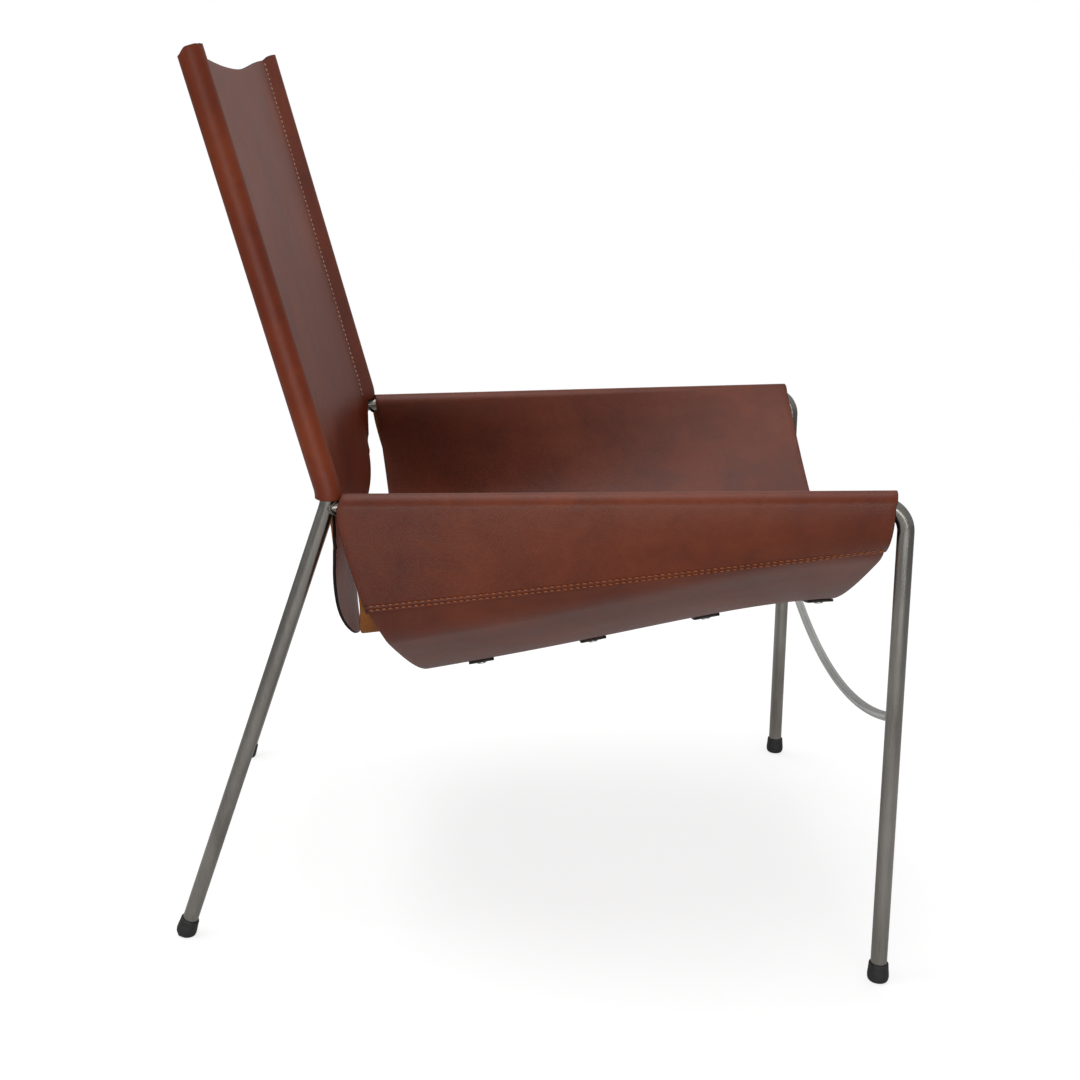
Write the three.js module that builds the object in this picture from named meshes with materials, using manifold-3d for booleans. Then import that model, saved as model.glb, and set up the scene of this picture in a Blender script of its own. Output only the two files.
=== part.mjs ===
// Leather sling lounge chair: a welded frame of bent steel tube, a back hide with a sleeve
// over each upright, and a seat hide laid over both arm rails and closed underneath.
// Millimetres, +Z up, the sitter faces -Y, and X runs across the chair.
import * as THREE from 'three';
import { mergeVertices } from 'three/addons/utils/BufferGeometryUtils.js';
import Module from 'manifold-3d';

const wasm = await Module();
wasm.setup();

// Stock and fits
const tubeDiameter = 16;
const tubeWall = 1.5;
const rodDiameter = 9.5;
const leatherThickness = 3.5;
const fitGap = 0.3;
const tubeRadius = tubeDiameter / 2;
const rodRadius = rodDiameter / 2;

// Frame: distances across are between tube centres, distances back are from the front legs
const frontTrack = 586;
const bendTrack = 538;
const topTrack = 566;
const rearTrack = 474;
const bendBack = 547;
const rearFootBack = 701.6;
const topBack = 674.7;
const topHeight = 903.2;
const railFrontHeight = 487.2;
const railRearHeight = 468.8;
const weldBelowBend = 9.2;
const bendHeight = railRearHeight + weldBelowBend;
const railBendRadius = 27;
const backBendRadius = 40;

// Rods between the legs
const frontRodHeight = 275;
const rearRodHeight = 290;
const rodSag = 52;

// Weld beads
const railBeadRadius = 1.7;
const rodBeadRadius = 1.5;
const beadLift = 0.6;

// Rubber foot, from the floor up
const footSole = 5.3;
const footContactRadius = 7;
const footHeelRadius = 9.8;
const footHeelHeight = 1.6;
const footBulgeRadius = 10.6;
const footBulgeHeight = 6;
const footRimRadius = 9.6;
const footHeight = 19.5;
const footSpareLength = 8;

// Plug in the top end of an upright
const plugHeadThickness = 2.5;
const plugEdge = 0.8;
const plugStemLength = 12;

// Back hide
const sleeveBore = 18.8;
const sleeveBelowBend = 1;
const sleeveAboveTube = 9;
const stitchInboard = 28;
const stitchRearward = 2;
const hemOverlap = 10;
const panelTopDip = 17;
const stitchTopDip = 3;
const panelSagTop = 1;
const panelSagBottom = 10;
const lobeCornerInboard = 17;
const lobeBottomHeight = 254.5;
const lobeShoulderHeight = 374.4;
const lobeShoulderHalfWidth = 180;
const lobeTipRound = 41;
const lobeRidgeHeight = 416;
const lobeRidgeBack = 550.5;
const lobeRidgeCrown = 1.1;
const lobeTipBack = 537.3;
const lobeTipCurl = 34.4;
const lobeCup = 21.6;
const lobeCupPower = 4.36;
const lobeCupSpan = 100;

// Seat hide: front and rear sizes, heights above the floor
const wrapGap = 0.9;
const wrapEasePower = 0.63;
const seatFrontBack = 13;
const innerFrontBack = 9;
const innerFrontSlant = 0.08;
const innerRearBack = 533.5;
const innerRearSlant = 0.145;
const flapRearBack = 540.2;
const flapRearSweep = 29;
const flapSweepPower = 1.6;
const flapEdgeSag = 2;
const flapEdgeFrontHeight = 436;
const flapEdgeRearHeight = 364.4;
const flapEdgeFrontHalf = 274.3;
const flapEdgeRearHalf = 278.3;
const flapShoulderFrontDrop = 34;
const flapShoulderRearDrop = 40;
const innerFrontLeave = THREE.MathUtils.degToRad(128.7);
const innerRearLeave = Math.PI;
const seatFrontHeight = 345;
const seatRearHeight = 308;
const innerFrontHandle = 150;
const innerRearHandle = 145;
const seatFrontFlat = 90;
const seatRearFlat = 300;

// Belly panels
const bellyFrontHeight = 313;
const bellyRearHeight = 222.5;
const bellyHump = 6.5;
const bellySlope = 0.62;
const bellyRound = 60;
const bellyInnerHalf = 25;
const bellyKneeFrontHalf = 262;
const bellyKneeRearHalf = 250;
const bellyKneeRearBack = 494;
const bellyInnerRearBack = 451;
const bellyOverlapRearTrim = 2;
const seamGap = 0.6;

// Cross straps and their screw posts
const strapWidth = 28;
const strapThickness = 3;
const strapHalfLength = 58;
const strapFirstBack = 25;
const strapPitch = 124;
const strapNames = ['front', 'second', 'third', 'rear'];
const postHalfSpan = 42;
const postRadius = 2.4;
const postHeadRadius = 5;
const postHeadThickness = 1.2;
const postGap = 0.5;

// Thread rows
const threadWidth = 1.4;
const threadThickness = 0.8;
const threadGap = 0.8;
const backThreadInboard = 3;
const seamLowerOffset = 3.4;
const seamUpperOffset = 7.6;

// Facets
const tubeSides = 16;
const rodSides = 10;
const bendSteps = 7;
const rodSteps = 12;
const beadSteps = 16;
const beadSides = 6;
const latheSteps = 16;
const postSides = 8;
const sleeveSteps = 8;
const panelSteps = 8;
const sleeveRows = 9;
const sleeveBendRows = 2;
const lobeRows = 7;
const flapSteps = 4;
const wrapSteps = 8;
const innerSteps = 8;
const seatRows = 10;
const strapSteps = 8;
const bellyShares = [1, 0.75, 0.5, 0.3, 0.16, 0.08, 0];
const middleShare = 0.5;

const boreRadius = tubeRadius - tubeWall;
const sleeveMidRadius = sleeveBore / 2 + leatherThickness / 2;
const wrapRadius = tubeRadius + wrapGap + leatherThickness / 2;
const layerStep = leatherThickness + fitGap;
const overlapShare = (flapSteps - 1) / flapSteps;

const steel = { color: 0x8c8780, roughness: 0.35, metalness: 1 };
const rodSteel = { color: 0x9b9a97, roughness: 0.3, metalness: 1 };
const rubber = { color: 0x222222, roughness: 0.7, metalness: 0 };
const hide = { color: 0x6e3423, roughness: 0.45, metalness: 0 };
const strapLeather = { color: 0x17130f, roughness: 0.6, metalness: 0 };
const orangeThread = { color: 0xc86a35, roughness: 0.8, metalness: 0 };
const tanThread = { color: 0xb08a70, roughness: 0.8, metalness: 0 };

const chair = new THREE.Group();
const { lerp } = THREE.MathUtils;

function addPiece(name, geometry, finish) {
  const mesh = new THREE.Mesh(geometry, new THREE.MeshStandardMaterial(finish));
  mesh.name = name;
  chair.add(mesh);
}

// Booleans
function toSolid(geometry) {
  const bare = geometry.clone();
  bare.deleteAttribute('normal');
  bare.deleteAttribute('uv');
  const merged = mergeVertices(bare);
  return new wasm.Manifold(new wasm.Mesh({
    numProp: 3,
    vertProperties: new Float32Array(merged.attributes.position.array),
    triVerts: new Uint32Array(merged.index.array),
  }));
}

function toGeometry(solid) {
  const mesh = solid.getMesh();
  const geometry = new THREE.BufferGeometry();
  geometry.setAttribute('position', new THREE.BufferAttribute(mesh.vertProperties, mesh.numProp));
  geometry.setIndex(new THREE.BufferAttribute(mesh.triVerts, 1));
  geometry.computeVertexNormals();
  return geometry;
}

function cutAway(geometry, cutters) {
  let solid = toSolid(geometry);
  for (const cutter of cutters) {
    solid = solid.subtract(toSolid(cutter));
  }
  return toGeometry(solid);
}

// A sheet of leather: each middle point is pushed half the thickness to both sides, kept
// cells get a face on each side, and every free edge gets a wall.
function sheetSolid(middle, thickness, keeps = () => true) {
  const rows = middle.length;
  const columns = middle[0].length;
  const kept = (row, column) => (
    row >= 0 && column >= 0 && row < rows - 1 && column < columns - 1 && keeps(row, column)
  );
  const positions = [];
  const faceIndex = new Map();
  const indices = [];
  const cellNormal = (row, column) => {
    const across = new THREE.Vector3().subVectors(middle[row + 1][column + 1], middle[row][column]);
    const other = new THREE.Vector3().subVectors(middle[row + 1][column], middle[row][column + 1]);
    return across.cross(other).normalize();
  };
  const vertex = (row, column) => {
    const key = row * columns + column;
    if (!faceIndex.has(key)) {
      const normal = new THREE.Vector3();
      for (const cell of [[row - 1, column - 1], [row - 1, column], [row, column - 1], [row, column]]) {
        if (kept(...cell)) {
          normal.add(cellNormal(...cell));
        }
      }
      normal.normalize();
      faceIndex.set(key, positions.length / 3);
      for (const side of [1, -1]) {
        const point = middle[row][column].clone().addScaledVector(normal, side * thickness / 2);
        positions.push(point.x, point.y, point.z);
      }
    }
    return faceIndex.get(key);
  };
  // A cell that isn't flat is split along its shorter diagonal, the same way on both faces
  const shortFirst = (row, column) => (
    middle[row][column].distanceTo(middle[row + 1][column + 1])
    <= middle[row][column + 1].distanceTo(middle[row + 1][column])
  );
  const quad = (a, b, c, d) => indices.push(a, b, c, a, c, d);
  const wall = (a, b) => quad(b, a, a + 1, b + 1);
  for (let row = 0; row < rows - 1; row += 1) {
    for (let column = 0; column < columns - 1; column += 1) {
      if (kept(row, column)) {
        const a = vertex(row, column);
        const b = vertex(row, column + 1);
        const c = vertex(row + 1, column + 1);
        const d = vertex(row + 1, column);
        if (shortFirst(row, column)) {
          quad(a, b, c, d);
          quad(d + 1, c + 1, b + 1, a + 1);
        } else {
          quad(b, c, d, a);
          quad(a + 1, d + 1, c + 1, b + 1);
        }
        if (!kept(row - 1, column)) wall(a, b);
        if (!kept(row, column + 1)) wall(b, c);
        if (!kept(row + 1, column)) wall(c, d);
        if (!kept(row, column - 1)) wall(d, a);
      }
    }
  }
  const geometry = new THREE.BufferGeometry();
  geometry.setAttribute('position', new THREE.Float32BufferAttribute(positions, 3));
  geometry.setIndex(indices);
  geometry.computeVertexNormals();
  return geometry;
}

// Tubes and rods: an outline swept along stations, each a point and a direction
class StationPath extends THREE.Curve {
  constructor(stations) {
    super();
    this.stations = stations;
  }

  station(share) {
    return this.stations[Math.round(share * (this.stations.length - 1))];
  }

  getPointAt(share, target = new THREE.Vector3()) {
    return target.copy(this.station(share).point);
  }

  getTangentAt(share, target = new THREE.Vector3()) {
    return target.copy(this.station(share).direction);
  }
}

function circlePoints(radius, sides) {
  const points = [];
  for (let side = 0; side < sides; side += 1) {
    const angle = (side / sides) * 2 * Math.PI;
    points.push(new THREE.Vector2(radius * Math.cos(angle), radius * Math.sin(angle)));
  }
  return points;
}

function sweep(stations, radius, sides, bore = 0) {
  const section = new THREE.Shape(circlePoints(radius, sides));
  if (bore > 0) {
    section.holes.push(new THREE.Path(circlePoints(bore, sides).reverse()));
  }
  return new THREE.ExtrudeGeometry(section, {
    steps: stations.length - 1,
    extrudePath: new StationPath(stations),
  });
}

// A path of straight runs from start to end with one round bend at the corner
function bentStations(start, corner, end, radius) {
  const incoming = new THREE.Vector3().subVectors(corner, start).normalize();
  const outgoing = new THREE.Vector3().subVectors(end, corner).normalize();
  const turn = incoming.angleTo(outgoing);
  const towards = outgoing.clone().addScaledVector(incoming, -incoming.dot(outgoing)).normalize();
  const arcStart = corner.clone().addScaledVector(incoming, -radius * Math.tan(turn / 2));
  const stations = [{ point: start, direction: incoming }];
  for (let step = 0; step <= bendSteps; step += 1) {
    const angle = (turn * step) / bendSteps;
    stations.push({
      point: arcStart.clone()
        .addScaledVector(incoming, radius * Math.sin(angle))
        .addScaledVector(towards, radius * (1 - Math.cos(angle))),
      direction: incoming.clone().multiplyScalar(Math.cos(angle)).addScaledVector(towards, Math.sin(angle)),
    });
  }
  stations.push({ point: end, direction: outgoing });
  return stations;
}

// Main points of one side of the frame; side is 1 on +X and -1 on -X
function framePoints(side) {
  const at = (track, back, height) => new THREE.Vector3((side * track) / 2, back, height);
  return {
    frontFoot: at(frontTrack, 0, 0),
    frontCorner: at(frontTrack, 0, railFrontHeight),
    railEnd: at(bendTrack, bendBack, railRearHeight),
    backBend: at(bendTrack, bendBack, bendHeight),
    rearFoot: at(rearTrack, rearFootBack, 0),
    backTop: at(topTrack, topBack, topHeight),
  };
}

function onLine(from, to, height) {
  return new THREE.Vector3().lerpVectors(from, to, (height - from.z) / (to.z - from.z));
}

function frontLegStations(side) {
  const points = framePoints(side);
  const start = points.frontFoot.clone().setZ(footSole + fitGap);
  return bentStations(start, points.frontCorner, points.railEnd, railBendRadius);
}

// The upright stops inside its sleeve, whose top hides the plug
function uprightTop(side) {
  const points = framePoints(side);
  const down = new THREE.Vector3().subVectors(points.backBend, points.backTop).normalize();
  return points.backTop.clone().addScaledVector(down, sleeveAboveTube);
}

function backTubeStations(side) {
  const points = framePoints(side);
  const down = new THREE.Vector3().subVectors(points.rearFoot, points.backBend).normalize();
  const start = points.rearFoot.clone().addScaledVector(down, -(footSole + fitGap));
  return bentStations(start, points.backBend, uprightTop(side), backBendRadius);
}

function backTubeCutter(side) {
  return sweep(backTubeStations(side), tubeRadius + fitGap, tubeSides);
}

function frontLegCutter(side) {
  return sweep(frontLegStations(side), tubeRadius + fitGap, tubeSides);
}

// A rod that dips between two legs as an arc of a circle
function rodStations(left, right, down) {
  const half = left.distanceTo(right) / 2;
  const radius = (half * half + rodSag * rodSag) / (2 * rodSag);
  const reach = Math.asin(half / radius);
  const across = new THREE.Vector3().subVectors(right, left).normalize();
  const middle = new THREE.Vector3().lerpVectors(left, right, middleShare);
  const stations = [];
  for (let step = 0; step <= rodSteps; step += 1) {
    const angle = lerp(-reach, reach, step / rodSteps);
    stations.push({
      point: middle.clone()
        .addScaledVector(across, radius * Math.sin(angle))
        .addScaledVector(down, rodSag - radius * (1 - Math.cos(angle))),
      direction: across.clone().multiplyScalar(Math.cos(angle)).addScaledVector(down, -Math.sin(angle)),
    });
  }
  return stations;
}

function frontRod() {
  const ends = [-1, 1].map((side) => framePoints(side).frontFoot.clone().setZ(frontRodHeight));
  return rodStations(...ends, new THREE.Vector3(0, 0, -1));
}

function rearRod() {
  const ends = [-1, 1].map((side) => {
    const points = framePoints(side);
    return onLine(points.backBend, points.rearFoot, rearRodHeight);
  });
  const down = new THREE.Vector3(0, rearFootBack - bendBack, -bendHeight).normalize();
  return rodStations(...ends, down);
}

// A closed bead along the line where a rod or rail meets the side of a tube
function weldBead(joint, along, postDirection, runRadius, beadRadius, cutters) {
  const first = new THREE.Vector3().crossVectors(along, postDirection).normalize();
  const second = new THREE.Vector3().crossVectors(along, first).normalize();
  const flatten = (vector) => vector.clone().addScaledVector(postDirection, -vector.dot(postDirection));
  const alongFlat = flatten(along);
  const reach = tubeRadius + beadLift;
  const path = [];
  for (let step = 0; step < beadSteps; step += 1) {
    const angle = (step / beadSteps) * 2 * Math.PI;
    const offset = first.clone().multiplyScalar((runRadius + beadLift) * Math.cos(angle))
      .addScaledVector(second, (runRadius + beadLift) * Math.sin(angle));
    const offsetFlat = flatten(offset);
    const a = alongFlat.lengthSq();
    const b = 2 * alongFlat.dot(offsetFlat);
    const c = offsetFlat.lengthSq() - reach * reach;
    const distance = (-b + Math.sqrt(Math.max(0, b * b - 4 * a * c))) / (2 * a);
    path.push(joint.clone().add(offset).addScaledVector(along, distance));
  }
  const positions = [];
  const indices = [];
  path.forEach((point, step) => {
    const next = path[(step + 1) % beadSteps];
    const previous = path[(step + beadSteps - 1) % beadSteps];
    const tangent = new THREE.Vector3().subVectors(next, previous).normalize();
    const outward = along.clone().addScaledVector(tangent, -along.dot(tangent)).normalize();
    const sideways = new THREE.Vector3().crossVectors(tangent, outward);
    for (let side = 0; side < beadSides; side += 1) {
      const angle = (side / beadSides) * 2 * Math.PI;
      const vertex = point.clone().addScaledVector(outward, beadRadius * Math.cos(angle))
        .addScaledVector(sideways, beadRadius * Math.sin(angle));
      positions.push(vertex.x, vertex.y, vertex.z);
      const turn = (side + 1) % beadSides;
      const ahead = ((step + 1) % beadSteps) * beadSides;
      const here = step * beadSides;
      indices.push(here + side, here + turn, ahead + turn, here + side, ahead + turn, ahead + side);
    }
  });
  const geometry = new THREE.BufferGeometry();
  geometry.setAttribute('position', new THREE.Float32BufferAttribute(positions, 3));
  geometry.setIndex(indices);
  return cutAway(geometry, cutters);
}

function addFrame() {
  for (const [name, side] of [['left', 1], ['right', -1]]) {
    const points = framePoints(side);
    const leg = sweep(frontLegStations(side), tubeRadius, tubeSides, boreRadius);
    addPiece(`leg_and_arm_tube_${name}`, cutAway(leg, [backTubeCutter(side)]), steel);
    addPiece(
      `back_and_rear_leg_tube_${name}`,
      sweep(backTubeStations(side), tubeRadius, tubeSides, boreRadius),
      steel,
    );
    const forward = new THREE.Vector3().subVectors(points.frontCorner, points.railEnd).normalize();
    const post = new THREE.Vector3().subVectors(points.backBend, points.rearFoot).normalize();
    post.add(new THREE.Vector3().subVectors(points.backTop, points.backBend).normalize()).normalize();
    const cutters = [backTubeCutter(side), frontLegCutter(side)];
    addPiece(
      `rail_weld_bead_${name}`,
      weldBead(points.railEnd, forward, post, tubeRadius, railBeadRadius, cutters),
      steel,
    );
  }
}

function addRods() {
  const plans = [
    ['front', frontRod(), frontLegCutter, (points) => [points.frontFoot, points.frontCorner]],
    ['rear', rearRod(), backTubeCutter, (points) => [points.rearFoot, points.backBend]],
  ];
  for (const [name, stations, legCutter, legLine] of plans) {
    const rod = sweep(stations, rodRadius, rodSides);
    addPiece(`${name}_brace_rod`, cutAway(rod, [legCutter(-1), legCutter(1)]), rodSteel);
    const clearRod = sweep(stations, rodRadius + fitGap, rodSides);
    for (const [sideName, side, end] of [['right', -1, stations[0]], ['left', 1, stations[rodSteps]]]) {
      const [low, high] = legLine(framePoints(side));
      const post = new THREE.Vector3().subVectors(high, low).normalize();
      const along = end.direction.clone().multiplyScalar(-side);
      const bead = weldBead(end.point, along, post, rodRadius, rodBeadRadius, [legCutter(side), clearRod]);
      addPiece(`${name}_brace_weld_bead_${sideName}`, bead, steel);
    }
  }
}

// A solid of revolution about +Z with its profile given as radius and height
function turned(profile, steps) {
  const points = profile.map(([radius, height]) => new THREE.Vector2(radius, height));
  return new THREE.LatheGeometry(points, steps).rotateX(Math.PI / 2);
}

function alignTo(geometry, origin, direction) {
  const turn = new THREE.Quaternion().setFromUnitVectors(new THREE.Vector3(0, 0, 1), direction);
  return geometry.applyQuaternion(turn).translate(origin.x, origin.y, origin.z);
}

// The foot is made a little long below the floor and cut flat at floor height
function footGeometry(floorPoint, up) {
  const pocket = tubeRadius + fitGap;
  const profile = [
    [0, -footSpareLength],
    [footContactRadius, -footSpareLength],
    [footContactRadius, 0],
    [footHeelRadius, footHeelHeight],
    [footBulgeRadius, footBulgeHeight],
    [footRimRadius, footHeight],
    [pocket, footHeight],
    [pocket, footSole],
    [0, footSole],
  ];
  const foot = alignTo(turned(profile, latheSteps), floorPoint, up);
  const reach = footBulgeRadius * 2 + footSpareLength;
  const below = new THREE.BoxGeometry(reach * 2, reach * 2, reach)
    .translate(floorPoint.x, floorPoint.y, floorPoint.z - reach / 2);
  return cutAway(foot, [below]);
}

function plugGeometry(topPoint, up) {
  const stem = boreRadius - fitGap;
  const profile = [
    [0, -plugStemLength],
    [stem, -plugStemLength],
    [stem, fitGap],
    [tubeRadius, fitGap],
    [tubeRadius, plugHeadThickness - plugEdge],
    [tubeRadius - plugEdge, plugHeadThickness],
    [0, plugHeadThickness],
  ];
  return alignTo(turned(profile, latheSteps), topPoint, up);
}

function addFeetAndPlugs() {
  for (const [name, side] of [['left', 1], ['right', -1]]) {
    const points = framePoints(side);
    const legUp = new THREE.Vector3().subVectors(points.backBend, points.rearFoot).normalize();
    const backUp = new THREE.Vector3().subVectors(points.backTop, points.backBend).normalize();
    addPiece(`front_foot_${name}`, footGeometry(points.frontFoot, new THREE.Vector3(0, 0, 1)), rubber);
    addPiece(`rear_foot_${name}`, footGeometry(points.rearFoot, legUp), rubber);
    addPiece(`back_tube_plug_${name}`, plugGeometry(uprightTop(side), backUp), rubber);
  }
}

// Back hide. A sleeve section is given by its distance inboard of the tube's centre and
// its distance behind it, square to the tube.
function sleeveSection() {
  const tangentAngle = (inboard, rearward, turn) => {
    const distance = Math.hypot(inboard, rearward);
    return Math.atan2(rearward, inboard) + turn * Math.acos(sleeveMidRadius / distance);
  };
  const hemRearward = stitchRearward + layerStep;
  const frontAngle = tangentAngle(stitchInboard, stitchRearward, -1);
  const rearAngle = tangentAngle(stitchInboard, hemRearward, 1) - 2 * Math.PI;
  const section = [[stitchInboard + hemOverlap, hemRearward], [stitchInboard, hemRearward]];
  for (let step = 0; step <= sleeveSteps; step += 1) {
    const angle = lerp(rearAngle, frontAngle, step / sleeveSteps);
    section.push([sleeveMidRadius * Math.cos(angle), sleeveMidRadius * Math.sin(angle)]);
  }
  const [frontInboard, frontRearward] = section[section.length - 1];
  const share = (lobeCornerInboard - frontInboard) / (stitchInboard - frontInboard);
  section.push([lobeCornerInboard, lerp(frontRearward, stitchRearward, share)]);
  section.push([stitchInboard, stitchRearward]);
  return section;
}

// Places round an upright, which follow the tube into the start of its bend
function uprightFrame(side) {
  const points = framePoints(side);
  const down = new THREE.Vector3().subVectors(points.backBend, points.backTop);
  const run = down.length();
  down.normalize();
  const onward = new THREE.Vector3().subVectors(points.rearFoot, points.backBend).normalize();
  const turn = down.angleTo(onward);
  const towards = onward.addScaledVector(down, -onward.dot(down)).normalize();
  const straight = run - backBendRadius * Math.tan(turn / 2);
  const length = straight + (backBendRadius * turn) / 2 + sleeveBelowBend;
  const inboard = new THREE.Vector3(-side, 0, 0);
  inboard.addScaledVector(down, -inboard.dot(down)).normalize();
  const bendShare = 1 - sleeveBendRows / sleeveRows;
  const along = (share) => (
    share <= bendShare
      ? (straight * share) / bendShare
      : lerp(straight, length, (share - bendShare) / (1 - bendShare))
  );
  return (share, dip, inward, behind) => {
    const distance = along(share) + dip * (1 - share);
    const past = Math.max(0, distance - straight);
    const angle = past / backBendRadius;
    const heading = down.clone().multiplyScalar(Math.cos(angle)).addScaledVector(towards, Math.sin(angle));
    const rearward = new THREE.Vector3().crossVectors(inboard, heading).multiplyScalar(-side);
    return points.backTop.clone()
      .addScaledVector(down, distance - past + backBendRadius * Math.sin(angle))
      .addScaledVector(towards, backBendRadius * (1 - Math.cos(angle)))
      .addScaledVector(inboard, inward)
      .addScaledVector(rearward, behind);
  };
}

function sleeveRow(side, share) {
  const place = uprightFrame(side);
  return sleeveSection().map(([inward, behind]) => {
    const dip = inward > lobeCornerInboard && behind < layerStep ? stitchTopDip : 0;
    return place(share, dip, inward, behind);
  });
}

function panelRow(share) {
  const places = [1, -1].map(uprightFrame);
  const sag = lerp(panelSagTop, panelSagBottom, share);
  const points = [];
  for (let step = 1; step < panelSteps; step += 1) {
    const across = step / panelSteps;
    const bow = 1 - (2 * across - 1) ** 2;
    const dip = lerp(stitchTopDip, panelTopDip, bow);
    const ends = places.map((place) => place(share, dip, stitchInboard, stitchRearward + sag * bow));
    points.push(new THREE.Vector3().lerpVectors(...ends, across));
  }
  return points;
}

function backRow(share) {
  return [...sleeveRow(1, share), ...panelRow(share), ...sleeveRow(-1, share).reverse()];
}

// Height of the lobe's rounded lower edge, and how far back its surface lies
function lobeEdgeHeight(x) {
  const curve = (across) => Math.hypot(across, lobeTipRound) - lobeTipRound;
  const share = curve(x) / curve(lobeShoulderHalfWidth);
  return lerp(lobeBottomHeight, lobeShoulderHeight, share);
}

function lobeBack(x, height) {
  const fall = (lobeRidgeHeight - height) / (lobeRidgeHeight - lobeBottomHeight);
  const lean = lobeRidgeBack - lobeTipBack - lobeTipCurl;
  const cup = lobeCup * fall ** lobeCupPower - lobeRidgeCrown;
  return lobeRidgeBack - lean * fall - lobeTipCurl * fall * fall + cup * (x / lobeCupSpan) ** 2;
}

function lobePoint(top, share) {
  const height = lerp(top.z, lobeEdgeHeight(top.x), share);
  if (height >= lobeRidgeHeight) {
    const ridge = lobeBack(top.x, lobeRidgeHeight);
    const back = lerp(top.y, ridge, (top.z - height) / (top.z - lobeRidgeHeight));
    return new THREE.Vector3(top.x, back, height);
  }
  return new THREE.Vector3(top.x, lobeBack(top.x, height), height);
}

function addBack() {
  const rows = [];
  for (let row = 0; row <= sleeveRows; row += 1) {
    rows.push(backRow(row / sleeveRows));
  }
  const lastSleeveRow = rows[sleeveRows];
  for (let row = 1; row <= lobeRows; row += 1) {
    rows.push(lastSleeveRow.map((top) => lobePoint(top, row / lobeRows)));
  }
  const corner = sleeveSection().length - 2;
  const lastColumn = lastSleeveRow.length - 1;
  const keeps = (row, column) => (
    row < sleeveRows || (column >= corner && column < lastColumn - corner)
  );
  const notchRadius = tubeRadius + beadLift + railBeadRadius + fitGap;
  const notches = [-1, 1].map((side) => sweep(frontLegStations(side), notchRadius, tubeSides));
  addPiece('back_hide', cutAway(sheetSolid(rows, leatherThickness, keeps), notches), hide);
}

// Rows of thread lie on the leather, held off its middle by half of both thicknesses
const threadLift = leatherThickness / 2 + threadGap + threadThickness / 2;

function threadRow(places) {
  const rows = places.map(({ point, lift, across }) => [-1, 1].map((side) => (
    point.clone().addScaledVector(lift, threadLift).addScaledVector(across, (side * threadWidth) / 2)
  )));
  return sheetSolid(rows, threadThickness);
}

function addBackThread() {
  const stitchColumn = sleeveSection().length - 1;
  for (const [name, side] of [['left', 1], ['right', -1]]) {
    const places = [];
    for (let row = 0; row <= sleeveRows; row += 1) {
      const points = backRow(row / sleeveRows);
      const column = side > 0 ? stitchColumn : points.length - 1 - stitchColumn;
      const across = new THREE.Vector3().subVectors(points[column + side], points[column]).normalize();
      const place = uprightFrame(side);
      const down = new THREE.Vector3().subVectors(place(1, 0, 0, 0), place(0, 0, 0, 0));
      const lift = new THREE.Vector3().crossVectors(down, across).multiplyScalar(-side).normalize();
      const point = points[column].clone().addScaledVector(across, backThreadInboard);
      places.push({ point, lift, across: across.multiplyScalar(side) });
    }
    addPiece(`back_stitching_${name}`, threadRow(places), tanThread);
  }
}

// Seat hide
function railAt(back) {
  const share = back / bendBack;
  return new THREE.Vector2(
    lerp(frontTrack, bendTrack, share) / 2,
    lerp(railFrontHeight, railRearHeight, share),
  );
}

function quadratic(a, b, c, share) {
  const first = a.clone().lerp(b, share);
  return first.lerp(b.clone().lerp(c, share), share);
}

function cubic(a, b, c, d, share) {
  const first = quadratic(a, b, c, share);
  return first.lerp(quadratic(b, c, d, share), share);
}

// One point of the flap, from the rail (share 0) to its lower edge (share 1), as across
// and height, at a station between the front (0) and the rear (1)
function flapPoint(station, back, share) {
  const rail = railAt(back);
  const start = new THREE.Vector2(rail.x + wrapRadius, rail.y);
  const shoulder = start.clone();
  shoulder.y -= lerp(flapShoulderFrontDrop, flapShoulderRearDrop, station);
  const edge = new THREE.Vector2(
    lerp(flapEdgeFrontHalf, flapEdgeRearHalf, station),
    lerp(flapEdgeFrontHeight, flapEdgeRearHeight, station) - flapEdgeSag * (1 - (2 * station - 1) ** 2),
  );
  return quadratic(start, shoulder, edge, share);
}

function flapBack(station, share) {
  return lerp(seatFrontBack, flapRearBack - flapRearSweep * share ** flapSweepPower, station);
}

function innerCurve(station, back) {
  const rail = railAt(back);
  const leave = lerp(innerFrontLeave, innerRearLeave, station);
  const start = new THREE.Vector2(Math.cos(leave), Math.sin(leave)).multiplyScalar(wrapRadius).add(rail);
  const direction = new THREE.Vector2(-Math.sin(leave), Math.cos(leave));
  const handle = lerp(innerFrontHandle, innerRearHandle, station);
  const middleHeight = lerp(seatFrontHeight, seatRearHeight, station);
  return [
    start,
    start.clone().addScaledVector(direction, handle),
    new THREE.Vector2(lerp(seatFrontFlat, seatRearFlat, station), middleHeight),
    new THREE.Vector2(0, middleHeight),
  ];
}

function innerBack(station, height) {
  const drop = (rail) => Math.max(0, rail - height);
  const front = innerFrontBack - innerFrontSlant * drop(railFrontHeight);
  const rear = innerRearBack - innerRearSlant * drop(railRearHeight);
  return lerp(front, rear, station);
}

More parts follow.
